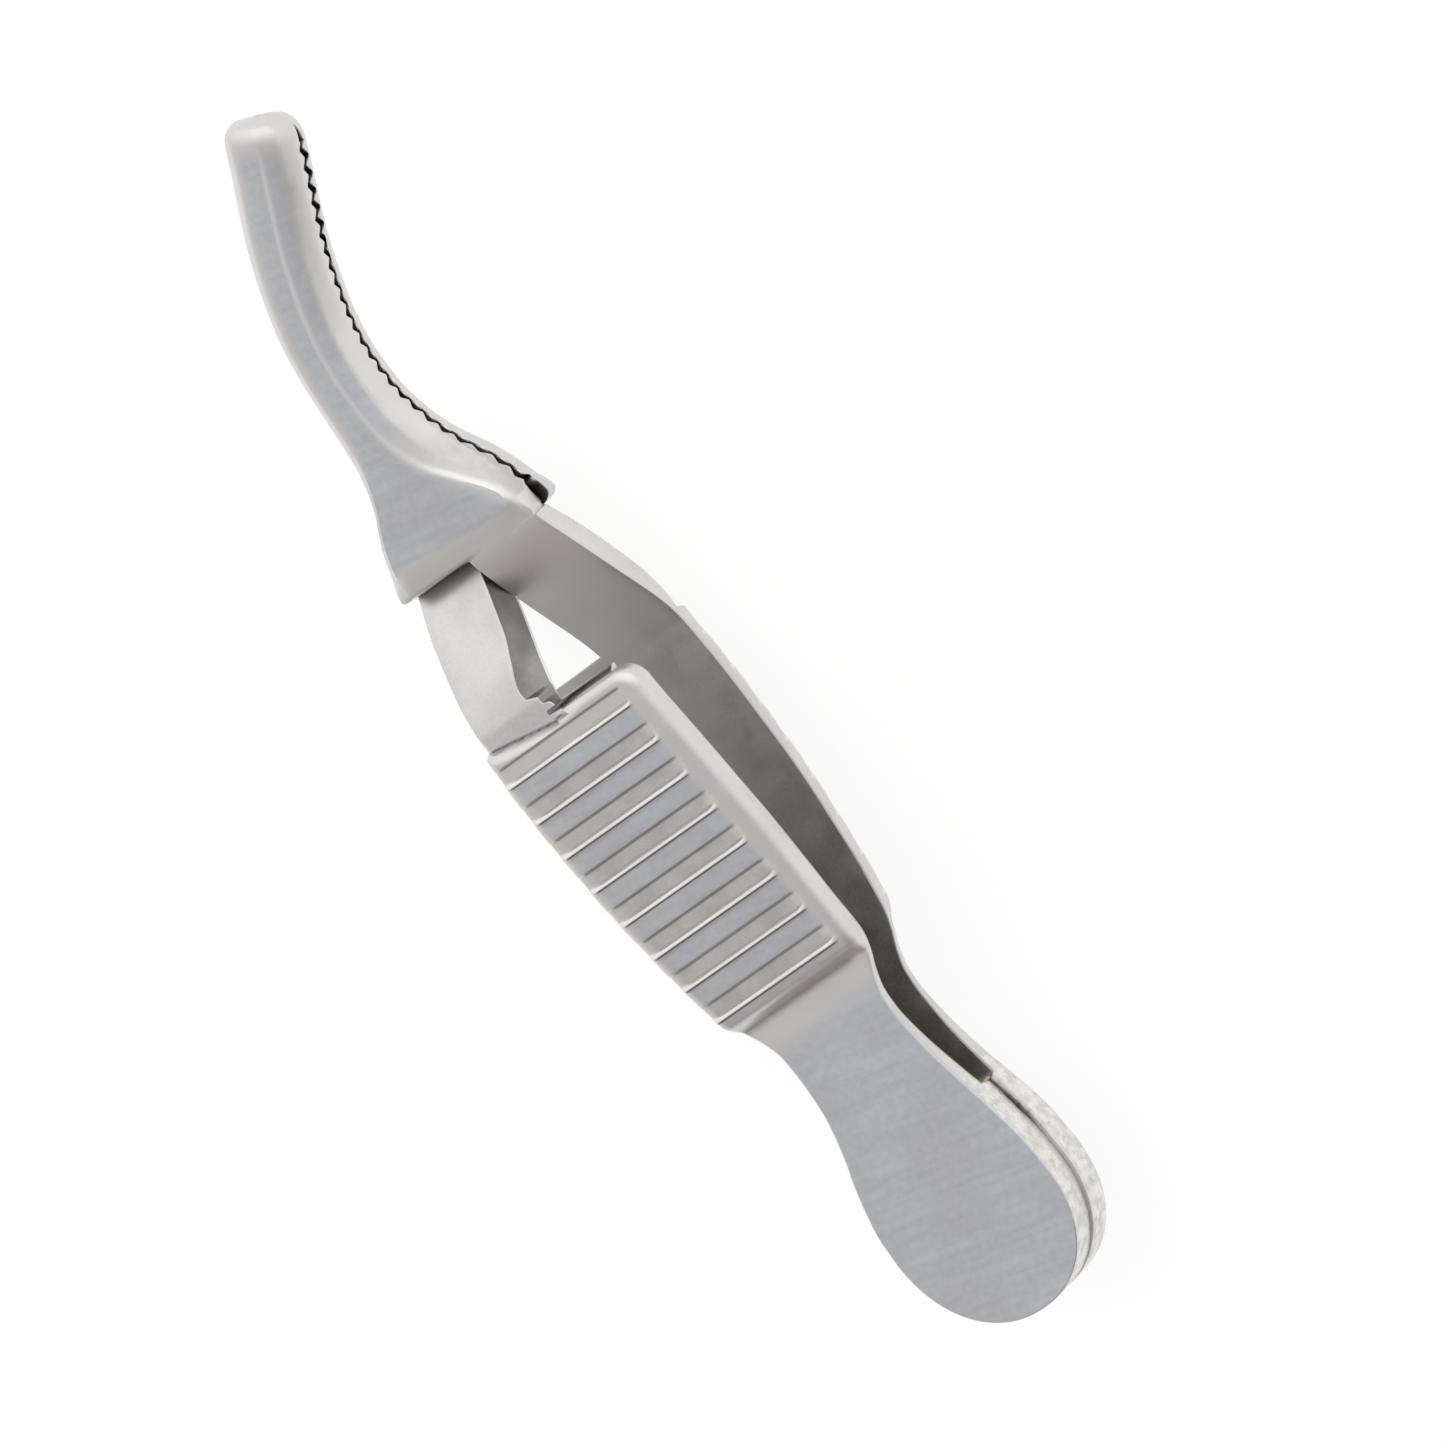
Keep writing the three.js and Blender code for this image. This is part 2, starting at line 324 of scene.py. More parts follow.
@dataclass(frozen=True)
class JawRoute:
    """The plan of a jaw: a line that bends aside, and the places along it."""

    bend: int
    start: float = 33.1
    knots: tuple[Pair, ...] = (
        (0.12, 33.1), (0.14, 35.3), (0.05, 37.4), (0.02, 39.3), (0.2, 41.2), (0.66, 43.0),
        (1.67, 45.4), (3.3, 48.3), (3.93, 49.58),
    )
    fine: int = 24

    def trace(self) -> tuple[list[Vector], list[float]]:
        """Samples the line.

        Returns:
            The points of the line, and how far along the clamp each one counts as.
        """
        knots = [Vector((self.bend * x, y)) for x, y in self.knots]
        ends = [2 * knots[0] - knots[1], *knots, 2 * knots[-1] - knots[-2]]
        points = []
        for a, b, c, d in zip(ends, ends[1:], ends[2:], ends[3:]):
            for i in range(self.fine):
                s = i / self.fine
                square = (2 * a - 5 * b + 4 * c - d) * s * s
                cube = (3 * b - a - 3 * c + d) * s ** 3
                points.append(0.5 * (2 * b + (c - a) * s + square + cube))
        points.append(knots[-1])
        along = [self.start]
        for a, b in zip(points, points[1:]):
            along.append(along[-1] + (b - a).length)
        return points, along


@dataclass
class LeafForm:
    """The shape of one leaf, drawn for the upper leaf. The lower one is turned about the y axis.

    Along the tail, neck, plate and stem a place is simply y. Along the jaw it is measured on the
    jaw's own bent line, so that every section stands square to the jaw. The stem runs on the side
    of lower x, and the side of higher x is the free one.
    """

    place: Place
    grooves: Grooves = field(default_factory=Grooves)
    teeth: Teeth = field(default_factory=Teeth)

    # plan, seen from above the clamp
    tail_depth: float = 4.1
    tail_power: float = 2.15
    tail_trim: dict[Place, Pair] = field(
        default_factory=lambda: {Place.UPPER: (0.05, 0.2), Place.LOWER: (0.03, 0.05)}
    )
    tail_trim_ramp: Pair = (9.0, 5.0)
    left_edge: Curve = Curve(
        (4.1, -4.08), (5.2, -4.0), (6.3, -3.74), (7.3, -3.42), (8.2, -3.06), (9.2, -2.75),
        (10.2, -2.54), (11.6, -2.45), (12.4, -2.48), (13.1, -2.7), (13.7, -3.02), (14.2, -3.3),
        (14.5, -3.4), (15.4, -3.46), (17.6, -3.62), (20.4, -3.72), (23.4, -3.7), (26.0, -3.62),
        (28.0, -3.48), (31.0, -3.4), (32.75, -3.2),
    )
    right_edge: Curve = Curve(
        (4.1, 3.58), (5.2, 3.54), (6.3, 3.35), (7.3, 3.1), (8.2, 2.86), (9.2, 2.65),
        (10.2, 2.5), (11.4, 2.41), (12.2, 2.47), (13.0, 2.73), (13.7, 3.08), (14.2, 3.27),
        (14.6, 3.36), (15.4, 3.44), (17.6, 3.6), (20.4, 3.72), (23.4, 3.7), (26.0, 3.62),
        (28.0, 3.56), (31.0, 3.5), (32.75, 3.36),
    )
    shoulder_start: float = 26.05
    shoulder_radius: float = 0.9
    plate_end: float = 26.94
    plate_slant: float = 0.14
    slant_from: float = -3.1
    slant_to: float = -0.2
    free_plate_end: float = 26.95
    free_end_ramp: Pair = (-0.35, 0.25)
    end_slope: float = 2.5
    lip_end: float = 27.12
    lip_drop: float = 0.22
    lip_ramp: Pair = (-0.1, 0.3)
    lip_reach: float = 0.6
    groove_fade: float = 0.3
    cut_top: Curve = Curve(
        (27.12, 0.0), (27.3, -0.06), (27.36, -0.12), (27.44, -0.36), (27.7, -0.4), (27.78, -0.6),
        (27.86, -0.86), (28.2, -0.93), (29.2, -0.66), (30.1, -0.42), (32.0, -0.3),
    )
    cut_foot: Curve = Curve((27.12, 0.02), (28.6, 0.02), (30.0, 0.03), (32.0, 0.05))
    wing_start: float = 32.8
    wing_flare: Curve = Curve(
        (32.8, -0.1), (32.84, 0.08), (32.92, 0.2), (33.1, 0.29), (33.4, 0.26), (34.3, 0.05),
        (35.2, 0.0),
    )
    band_end: float = 33.74
    band_slant: float = 0.086
    jaw_half: Curve = Curve(
        (32.8, 3.26), (33.1, 3.22), (34.0, 3.14), (34.7, 2.98), (35.4, 2.66), (36.0, 2.31),
        (36.9, 1.94), (37.8, 1.7), (39.3, 1.48), (41.2, 1.42), (44.0, 1.43), (48.0, 1.4),
        (50.6, 1.37),
    )
    turn_run: float = 1.5
    turn_span: int = 6

    # side view
    outer: Curve = Curve(
        (0.0, 1.25), (12.6, 1.25), (13.6, 1.22), (13.82, 1.24), (14.0, 1.38), (14.2, 1.62),
        (14.4, 1.79), (15.0, 1.94), (16.2, 2.1), (17.6, 2.25), (19.65, 2.45), (21.0, 2.57),
        (23.8, 2.75), (25.4, 2.8), (26.95, 2.8),
    )
    stem_top: Curve = Curve(
        (26.4, 2.34), (27.1, 2.36), (27.5, 2.36), (28.0, 2.26), (28.9, 1.96), (30.5, 1.24),
        (32.0, 0.48), (32.8, 0.04), (33.3, -0.12), (33.7, -0.15), (49.0, -0.15), (50.1, -0.03),
    )
    slot: float = 7.5
    inner: Curve = Curve(
        (0.0, 0.012), (4.4, 0.012), (6.2, 0.045), (7.5, 0.05), (7.56, 0.2), (7.62, 0.4),
        (7.7, 0.46), (9.2, 0.62), (11.3, 0.81), (12.7, 0.87), (14.1, 0.9), (16.2, 1.2),
        (17.6, 1.35), (19.65, 1.55), (21.0, 1.67), (22.4, 1.75), (23.8, 1.84), (25.4, 1.9),
        (26.5, 1.88), (27.1, 1.79), (27.7, 1.58), (28.4, 1.24), (29.2, 0.8), (30.5, 0.1),
        (31.7, -0.5), (32.6, -0.88), (33.0, -0.99), (33.6, -1.14), (33.9, -1.19), (34.4, -1.2),
        (38.0, -1.24), (49.0, -1.22),
    )

    # rims, the jaw's back and its closing face
    edge_round: Curve = Curve(
        (6.0, 0.07), (8.5, 0.12), (13.6, 0.14), (14.4, 0.42), (26.95, 0.42), (27.1, 0.36),
        (28.8, 0.07),
    )
    inner_round: Curve = Curve((7.3, 0.012), (7.8, 0.04))
    cut_round: float = 0.05
    ridge: Curve = Curve(
        (31.8, 0.96), (34.1, 0.85), (35.4, 0.63), (36.6, 0.39), (38.5, 0.25), (50.0, 0.2)
    )
    crown_round: Curve = Curve((34.2, 0.0), (36.4, 0.16), (40.0, 0.4))
    back_rim: float = 0.06
    closing_rim: float = 0.05
    closing_drop: float = 0.03
    tooth_margin: Curve = Curve((33.9, 0.45), (38.0, 0.3), (44.0, 0.12), (46.5, 0.0))
    least_margin: float = 0.02
    margin_wall: float = 0.07
    margin_height: float = 0.9
    margin_ramp: Pair = (-0.1, 0.3)
    wall_foot: float = 0.04
    wing_end_round: float = 0.16
    wing_end_ramp: Pair = (-0.3, 0.2)
    arch_height: float = 0.5
    arch_half: float = 3.0
    arch_ramp: Pair = (-0.2, 0.7)
    arch_along: Pair = (34.1, 33.0)
    tip_length: float = 1.0
    tip_power: float = 2.9
    tip_trim: dict[Place, float] = field(
        default_factory=lambda: {Place.UPPER: 0.16, Place.LOWER: 0.0}
    )
    least_step: float = 0.0075

    def __post_init__(self) -> None:
        """Works out the jaw's line once."""
        self.route = JawRoute(bend=self.place.value)
        self.points, self.along = self.route.trace()
        self.tip = self.along[-1] - self.tip_trim[self.place]

    def frame_at(self, t: float) -> tuple[Vector, Vector]:
        """The middle of the section at t, and the direction across the leaf there.

        Args:
            t: the place along the leaf.

        Returns:
            The middle, and the direction as a unit vector.
        """
        start = self.route.start
        if t <= start:
            x = self.route.knots[0][0] * self.route.bend * smoothstep(self.wing_start, start, t)
            return Vector((x, t)), Vector((1, 0))
        i = min(len(self.along) - 2, max(k for k, a in enumerate(self.along) if a <= t))
        share = (t - self.along[i]) / (self.along[i + 1] - self.along[i])
        at = self.points[i].lerp(self.points[i + 1], share)
        back = self.points[max(0, i - self.turn_span)]
        ahead = self.points[min(len(self.points) - 1, i + 1 + self.turn_span)]
        turn = smoothstep(start, start + self.turn_run, t)
        direction = Vector((0, 1)).lerp((ahead - back).normalized(), turn).normalized()
        return at, Vector((direction.y, -direction.x))

    def tip_share(self, t: float) -> float:
        """How full the jaw still is near its rounded tip, from 1 down to about 0."""
        into = max(0.0, t - (self.tip - self.tip_length)) / self.tip_length
        return max(0.002, 1 - into ** self.tip_power) ** (1 / self.tip_power)

    def across_jaw(self, t: float, x: float) -> float:
        """How far across the jaw a place is, from -1 on the stem's side to 1."""
        return x / (self.jaw_half(t) * self.tip_share(t))

    def tooth_wave(self, t: float) -> float:
        """The teeth's wave at t, turned over on the lower leaf so that the two jaws mesh."""
        return self.place.value * self.teeth.wave(t)

    def outline(self, t: float) -> Pair:
        """The lowest and highest x of the leaf's plan at t, before the shoulder and the cut.

        Args:
            t: the place along the leaf.

        Returns:
            The lowest and highest x.
        """
        trims, share = self.tail_trim[self.place], smoothstep(*self.tail_trim_ramp, t)
        left = self.left_edge(t) + trims[0] * share
        right = self.right_edge(t) - trims[1] * share
        return (left, right) if self.place is Place.UPPER else (-right, -left)

    def edges(self, t: float, face: Face) -> Pair:
        """The lowest and highest x of a broad face, across the section at t.

        Args:
            t: the place along the leaf.
            face: the broad face.

        Returns:
            The lowest and highest x, from the jaw's own line on the jaw.
        """
        if t >= self.wing_start:
            half = self.jaw_half(t) * self.tip_share(t)
            return -half, half + self.wing_flare(t)
        left, right = self.outline(t)
        if t > self.lip_end:
            return left, (self.cut_top if face is Face.OUTER else self.cut_foot)(t)
        if t < self.tail_depth:
            share = 1 - ((self.tail_depth - t) / self.tail_depth) ** self.tail_power
            half = (right - left) / 2 * share ** (1 / self.tail_power)
            return (left + right) / 2 - half, (left + right) / 2 + half
        return left, right - self._shoulder(t)

    def _shoulder(self, t: float) -> float:
        """How far the plate's free corner is drawn in at t.

        Args:
            t: the place along the leaf.

        Returns:
            The distance, 0 before the shoulder.
        """
        reach = min(self.shoulder_radius, t - self.shoulder_start)
        if reach <= 0:
            return 0.0
        return self.shoulder_radius - math.sqrt(self.shoulder_radius ** 2 - reach ** 2)

    def from_edge(self, t: float, x: float, left: float, right: float) -> float:
        """How far a place is from the nearest edge of the leaf's plan.

        Args:
            t: the place along the leaf.
            x: the place across it.
            left: the lowest x of the face there.
            right: the highest x of the face there.

        Returns:
            The distance, never below 0.
        """
        near = min(x - left, right - x)
        if t < self.tail_depth:
            low, high = self.outline(self.tail_depth)
            power, depth, half = self.tail_power, self.tail_depth, (high - low) / 2
            across, back = abs(x - (low + high) / 2) / half, (depth - t) / depth
            inside = 1 - across ** power - back ** power
            steepness = math.hypot(across ** (power - 1) / half, back ** (power - 1) / depth)
            near = min(near, inside / (power * steepness + 1e-6))
        corner = self.shoulder_radius
        if self.shoulder_start < t <= self.lip_end:
            free = right + self._shoulder(t) - x
            if free < corner:
                near = min(near, corner - math.hypot(corner - free, t - self.shoulder_start))
        return max(0.0, near)

    def outer_height(self, t: float, x: float, left: float, right: float) -> float:
        """The outer face's height at a place of the tail, neck, plate or stem.

        Args:
            t: the place along the leaf.
            x: the place across it.
            left: the lowest x of the face there.
            right: the highest x of the face there.

        Returns:
            The height over the plane where the leaves meet.
        """
        radius = self.edge_round(t)
        if t > self.lip_end:
            drop = max(rounding(radius, x - left), rounding(self.cut_round, right - x))
            return self.stem_top(t) - drop
        near = self.from_edge(t, x, left, right)
        to_end = self.end_at(x) - t
        drop = rounding(radius, min(near, max(0.0, to_end)))
        cut = self.grooves.depth_at(x, t) * max(0.0, 1 - drop / self.groove_fade)
        plate = self.outer(t) - drop - cut - max(0.0, -to_end) * self.end_slope
        if to_end > self.lip_reach:
            return plate
        lip = self.stem_top(t) - smoothstep(*self.lip_ramp, x) * self.lip_drop
        return max(plate, lip - rounding(radius, near))

    def end_at(self, x: float) -> float:
        """How far along the leaf the plate's raised face ends at x.

        Args:
            x: the place across it.

        Returns:
            The place along the leaf.
        """
        run = min(self.slant_to, max(self.slant_from, x)) - self.slant_from
        stem_side = self.plate_end - self.plate_slant * run
        return mix(stem_side, self.free_plate_end, smoothstep(*self.free_end_ramp, x))

    def inner_height(self, t: float, x: float, left: float, right: float) -> float:
        """The inner face's height at a place of the tail, neck, plate or stem."""
        return self.inner(t) + rounding(self.inner_round(t), self.from_edge(t, x, left, right))

    def closing_height(self, t: float, x: float, left: float, right: float) -> float:
        """The height of the closing face at a place: flat, arched near the wing, or toothed.

        Args:
            t: the place along the leaf.
            x: the place across it.
            left: the lowest x of the face there.
            right: the highest x of the face there.

        Returns:
            The height over the plane where the leaves meet.
        """
        reach, margin, first = self.teeth.height / 2, self.tooth_margin(t), self.teeth.first
        swing = reach * self.tooth_wave(t)
        if margin > self.least_margin:
            filled = smoothstep(0.0, self.margin_wall, x - (right - margin))
            filled *= smoothstep(first + self.margin_ramp[0], first + self.margin_ramp[1], t)
            swing = mix(swing, reach * self.margin_height, filled)
        edge = max(0.0, 1 - min(x - left, right - x) / self.closing_rim)
        return self.stem_top(t) + swing - self.closing_drop * edge ** 2 - self._arch(t, x)

    def end_drop(self, t: float, x: float) -> float:
        """How far the back of the wing has rounded off near its end."""
        drop = rounding(self.wing_end_round, t - self.wing_start)
        return drop * smoothstep(*self.wing_end_ramp, x)

    def notches(self, t: float) -> Pair:
        """How deep the teeth cut into the two edges of the jaw's back at t."""
        cut = max(0.0, -self.tooth_wave(t) * self.teeth.height / 2)
        return cut, 0.0 if self.tooth_margin(t) > self.least_margin else cut

    def _arch(self, t: float, x: float) -> float:
        """How far the wing's closing face is hollowed where the other stem passes it.

        Args:
            t: the place along the leaf.
            x: the place across it.

        Returns:
            The depth of the hollow.
        """
        bow = math.sqrt(max(0.0, 1 - (max(0.0, x) / self.arch_half) ** 2))
        rise = smoothstep(*self.arch_ramp, x) * bow
        return self.arch_height * rise * smoothstep(*self.arch_along, t)

    def stations(self) -> list[float]:
        """Every place where the leaf has a section, closer together where the shape turns.

        Returns:
            The places in order, none closer than the least step.
        """
        lip, wing = self.lip_end, self.wing_start
        # the start, the stop and the longest step of each even run
        runs = (
            (self.tail_depth, 7.4, 0.2), (8.0, 13.2, 0.2), (13.3, 14.62, 0.06),
            (14.9, 26.0, 0.25), (26.3, lip, 0.04), (lip + 0.05, 28.0, 0.05),
            (28.1, wing - 0.012, 0.16), (32.85, 33.9, 0.09),
        )
        made = [t for run in runs for t in spread(*run)]
        made += [0.0008, 7.5, 7.53, 7.56, 7.59, 7.62, 7.66, 7.7, 7.8, lip + 0.012, wing]
        made += [self.tail_depth * share for share in bunched(26)[1:-1]]
        made += [self.shoulder_start + self.shoulder_radius * (1 - share) for share in bunched(12)]
        made += [self.tip - self.tip_length * (1 - share) for share in bunched(16)[:-1]]
        made += [self.tip - 0.0004, *self.grooves.stations(), *self.teeth.stations()]
        kept: list[float] = []
        for t in sorted(made):
            if not kept or t - kept[-1] > self.least_step:
                kept.append(t)
        return kept


# ---- wear and painted shade -----------------------------------------------------------------


@dataclass(frozen=True)
class Streak:
    """A thin line of painted shade across the plate, darkest in its middle.

    Attributes:
        offset: how far past an edge of the shape the middle is.
        half_width: how far from the middle it has faded.
        strength: how dark it is, from 0 to 1.
    """

    offset: float
    half_width: float
    strength: float

    def at(self, past: float) -> float:
        """How dark it is at a place so far past the edge."""
        return self.strength * max(0.0, 1 - abs(past - self.offset) / self.half_width)


@dataclass(frozen=True)
class ShadeAndWear:
    """Where a leaf is darkened by painted shade, satin, rubbed bright, or lit by a painted highlight,
    each from 0 to 1.
    """

    form: LeafForm

    # painted shade
    flank_stain: float = 0.3
    flank_across: Pair = (-0.02, -0.1)
    flank_along: Pair = (38.5, 36.0)
    slot_stain: float = 0.5
    plate_stain: float = 0.3
    ledge_along: Pair = (4.6, 6.4)
    slot_to_plate: Pair = (11.0, 25.0)
    plate_along: Pair = (28.6, 26.0)
    crest_stain: float = 0.27
    tooth_flank: Pair = (0.4, -0.9)
    arch_stain: float = 0.95
    arch_run: float = 0.4
    cove_stain: float = 0.4
    cove_middle: float = 13.86
    cove_half: float = 0.34
    cove_across: Pair = (2.8, 2.2)
    stem_end_stain: float = 0.9
    stem_end_along: Pair = (32.3, 33.0)
    # thin lines of painted shade along the plate's end and along each groove's walls
    end_streak: Streak = Streak(0.08, 0.1, 0.8)
    jawward_streak: Streak = Streak(-0.08, 0.09, 0.5)
    tailward_streak: Streak = Streak(-0.04, 0.06, 0.85)
    plate_start: float = 14.0
    stem_rim: Pair = (-3.5, -3.2)
    free_rim: Pair = (2.95, 2.65)

    # satin and ground
    band_ramp: Pair = (0.03, -0.05)
    band_reach: float = 0.5
    cove_end: float = 13.9
    satin_free: Pair = (2.6, 2.95)
    satin_stem: Pair = (-3.0, -3.3)
    satin_land: Pair = (25.5, 25.7)
    satin_cove: Pair = (14.6, 14.2)
    satin_neck: Pair = (11.9, 13.3)
    bar_along: Pair = (36.0, 39.0)
    free_stripe: Pair = (0.02, 0.1)
    free_stripe_far: Pair = (0.96, 0.62)
    free_stripe_fade: Pair = (0.1, -0.08)
    stem_stripe: Pair = (-0.04, -0.12)
    stem_stripe_far: Pair = (-0.52, -0.36)
    tip_fade: Pair = (-0.7, -1.5)

    # rubbed bright, and a painted highlight on the groove walls
    ridge_wear: float = 0.6
    ridge_half: Pair = (0.13, 0.08)
    ridge_along: Pair = (50.0, 48.0)
    crest_wear: float = 0.6
    crest: Pair = (0.55, 0.95)
    crest_run: float = 0.2
    wall_wear: float = 0.75
    wall_low: Pair = (-0.02, 0.03)
    wall_high: Pair = (0.24, 0.08)
    wall_across: Pair = (2.95, 2.7)

    def tarnish(self, t: float, x: float, face: Face) -> float:
        """How dark a place is painted with shade: in hollows, between the leaves and under the wing.

        Args:
            t: the place along the leaf.
            x: the place across it.
            face: the broad face.

        Returns:
            The painted shade, from 0 to 1.
        """
        form, first = self.form, self.form.teeth.first
        # painted shade on the inner faces: the jaw's steep flank, and the slot and plate where the
        # two leaves face each other
        if face is Face.INNER:
            if t > form.band_end:
                flank = smoothstep(*self.flank_across, form.across_jaw(t, x) + form.ridge(t))
                return self.flank_stain * flank * smoothstep(*self.flank_along, t)
            if t < form.slot:
                return self.slot_stain * smoothstep(*self.ledge_along, t)
            stain = mix(self.slot_stain, self.plate_stain, smoothstep(*self.slot_to_plate, t))
            return stain * smoothstep(*self.plate_along, t)
        # painted shade over the closing face, deepest in the tooth valleys and under the wing
        if t >= form.wing_start:
            stain = mix(self.crest_stain, 1.0, smoothstep(*self.tooth_flank, form.tooth_wave(t)))
            return max(stain, self.arch_stain * smoothstep(first, first - self.arch_run, t))
        # painted shade in the cove, on the stem under the wing, along the plate's end and along the
        # groove walls
        cove = smoothstep(self.cove_half, 0.0, abs(t - self.cove_middle))
        stain = self.cove_stain * cove * smoothstep(*self.cove_across, x)
        stain += self.stem_end_stain * smoothstep(*self.stem_end_along, t)
        stain += self.end_streak.at(t - form.end_at(x))
        for low, high in form.grooves.walls():
            stain += self.jawward_streak.at(t - high) + self.tailward_streak.at(t - low)
        inside = smoothstep(*self.stem_rim, x) * smoothstep(*self.free_rim, x)
        return min(1.0, stain) * (inside if t > self.plate_start else 1.0)

    def polish(self, t: float, x: float, face: Face) -> float:
        """How satin a place of the ground faces is.

        Args:
            t: the place along the leaf.
            x: the place across it.
            face: the broad face.

        Returns:
            The share of satin, from 0 to 1.
        """
        form = self.form
        if face is Face.INNER:
            band = smoothstep(*self.band_ramp, t - form.band_end - form.band_slant * x)
            on_jaw = t > form.band_end - self.band_reach
            return max(band, 1 - self._stripes(t, x)) if on_jaw else band
        if t > form.plate_end:
            return 0.0
        if t > self.cove_end:
            side = max(smoothstep(*self.satin_free, x), smoothstep(*self.satin_stem, x))
            return max(side, smoothstep(*self.satin_land, t), smoothstep(*self.satin_cove, t))
        return smoothstep(*self.satin_neck, t)

    def _stripes(self, t: float, x: float) -> float:
        """How freshly ground the jaw's back is: the two stripes beside its ridge.

        Args:
            t: the place along the leaf.
            x: the place across it.

        Returns:
            The share of fresh grinding, from 0 to 1.
        """
        ridge, tip = self.form.ridge(t), self.form.tip
        v = self.form.across_jaw(t, x) + ridge
        bar = smoothstep(*self.bar_along, t)
        far = mix(self.free_stripe_far[0] + ridge, self.free_stripe_far[1], bar)
        fade = [far + step for step in self.free_stripe_fade]
        free_side = smoothstep(*self.free_stripe, v) * smoothstep(*fade, v)
        stem_side = smoothstep(*self.stem_stripe, v) * smoothstep(*self.stem_stripe_far, v) * bar
        near_tip = [tip + step for step in self.tip_fade]
        return max(free_side, stem_side) * smoothstep(*near_tip, t)

    def worn(self, t: float, x: float, face: Face) -> float:
        """How bright a place is from rubbing, and from a painted highlight on the groove walls.

        Args:
            t: the place along the leaf.
            x: the place across it.
            face: the broad face.

        Returns:
            The share of bare metal, from 0 to 1.
        """
        form, first = self.form, self.form.teeth.first
        if face is Face.INNER:
            if t < form.band_end:
                return 0.0
            narrow = mix(*self.ridge_half, smoothstep(*self.bar_along, t))
            ridge = smoothstep(narrow, 0.0, abs(form.across_jaw(t, x) + form.ridge(t)))
            return self.ridge_wear * ridge * smoothstep(*self.ridge_along, t)
        if t >= form.wing_start:
            crest = self.crest_wear * smoothstep(*self.crest, form.tooth_wave(t))
            return crest * smoothstep(first, first + self.crest_run, t)
        if t < self.plate_start:
            return 0.0
        # painted highlight along each groove's tailward wall
        walls = sum(
            smoothstep(*self.wall_low, t - low) * smoothstep(*self.wall_high, t - low)
            for low, _ in form.grooves.walls()
        )
        return self.wall_wear * min(1.0, walls) * smoothstep(*self.wall_across, x)


# ---- sections -------------------------------------------------------------------------------


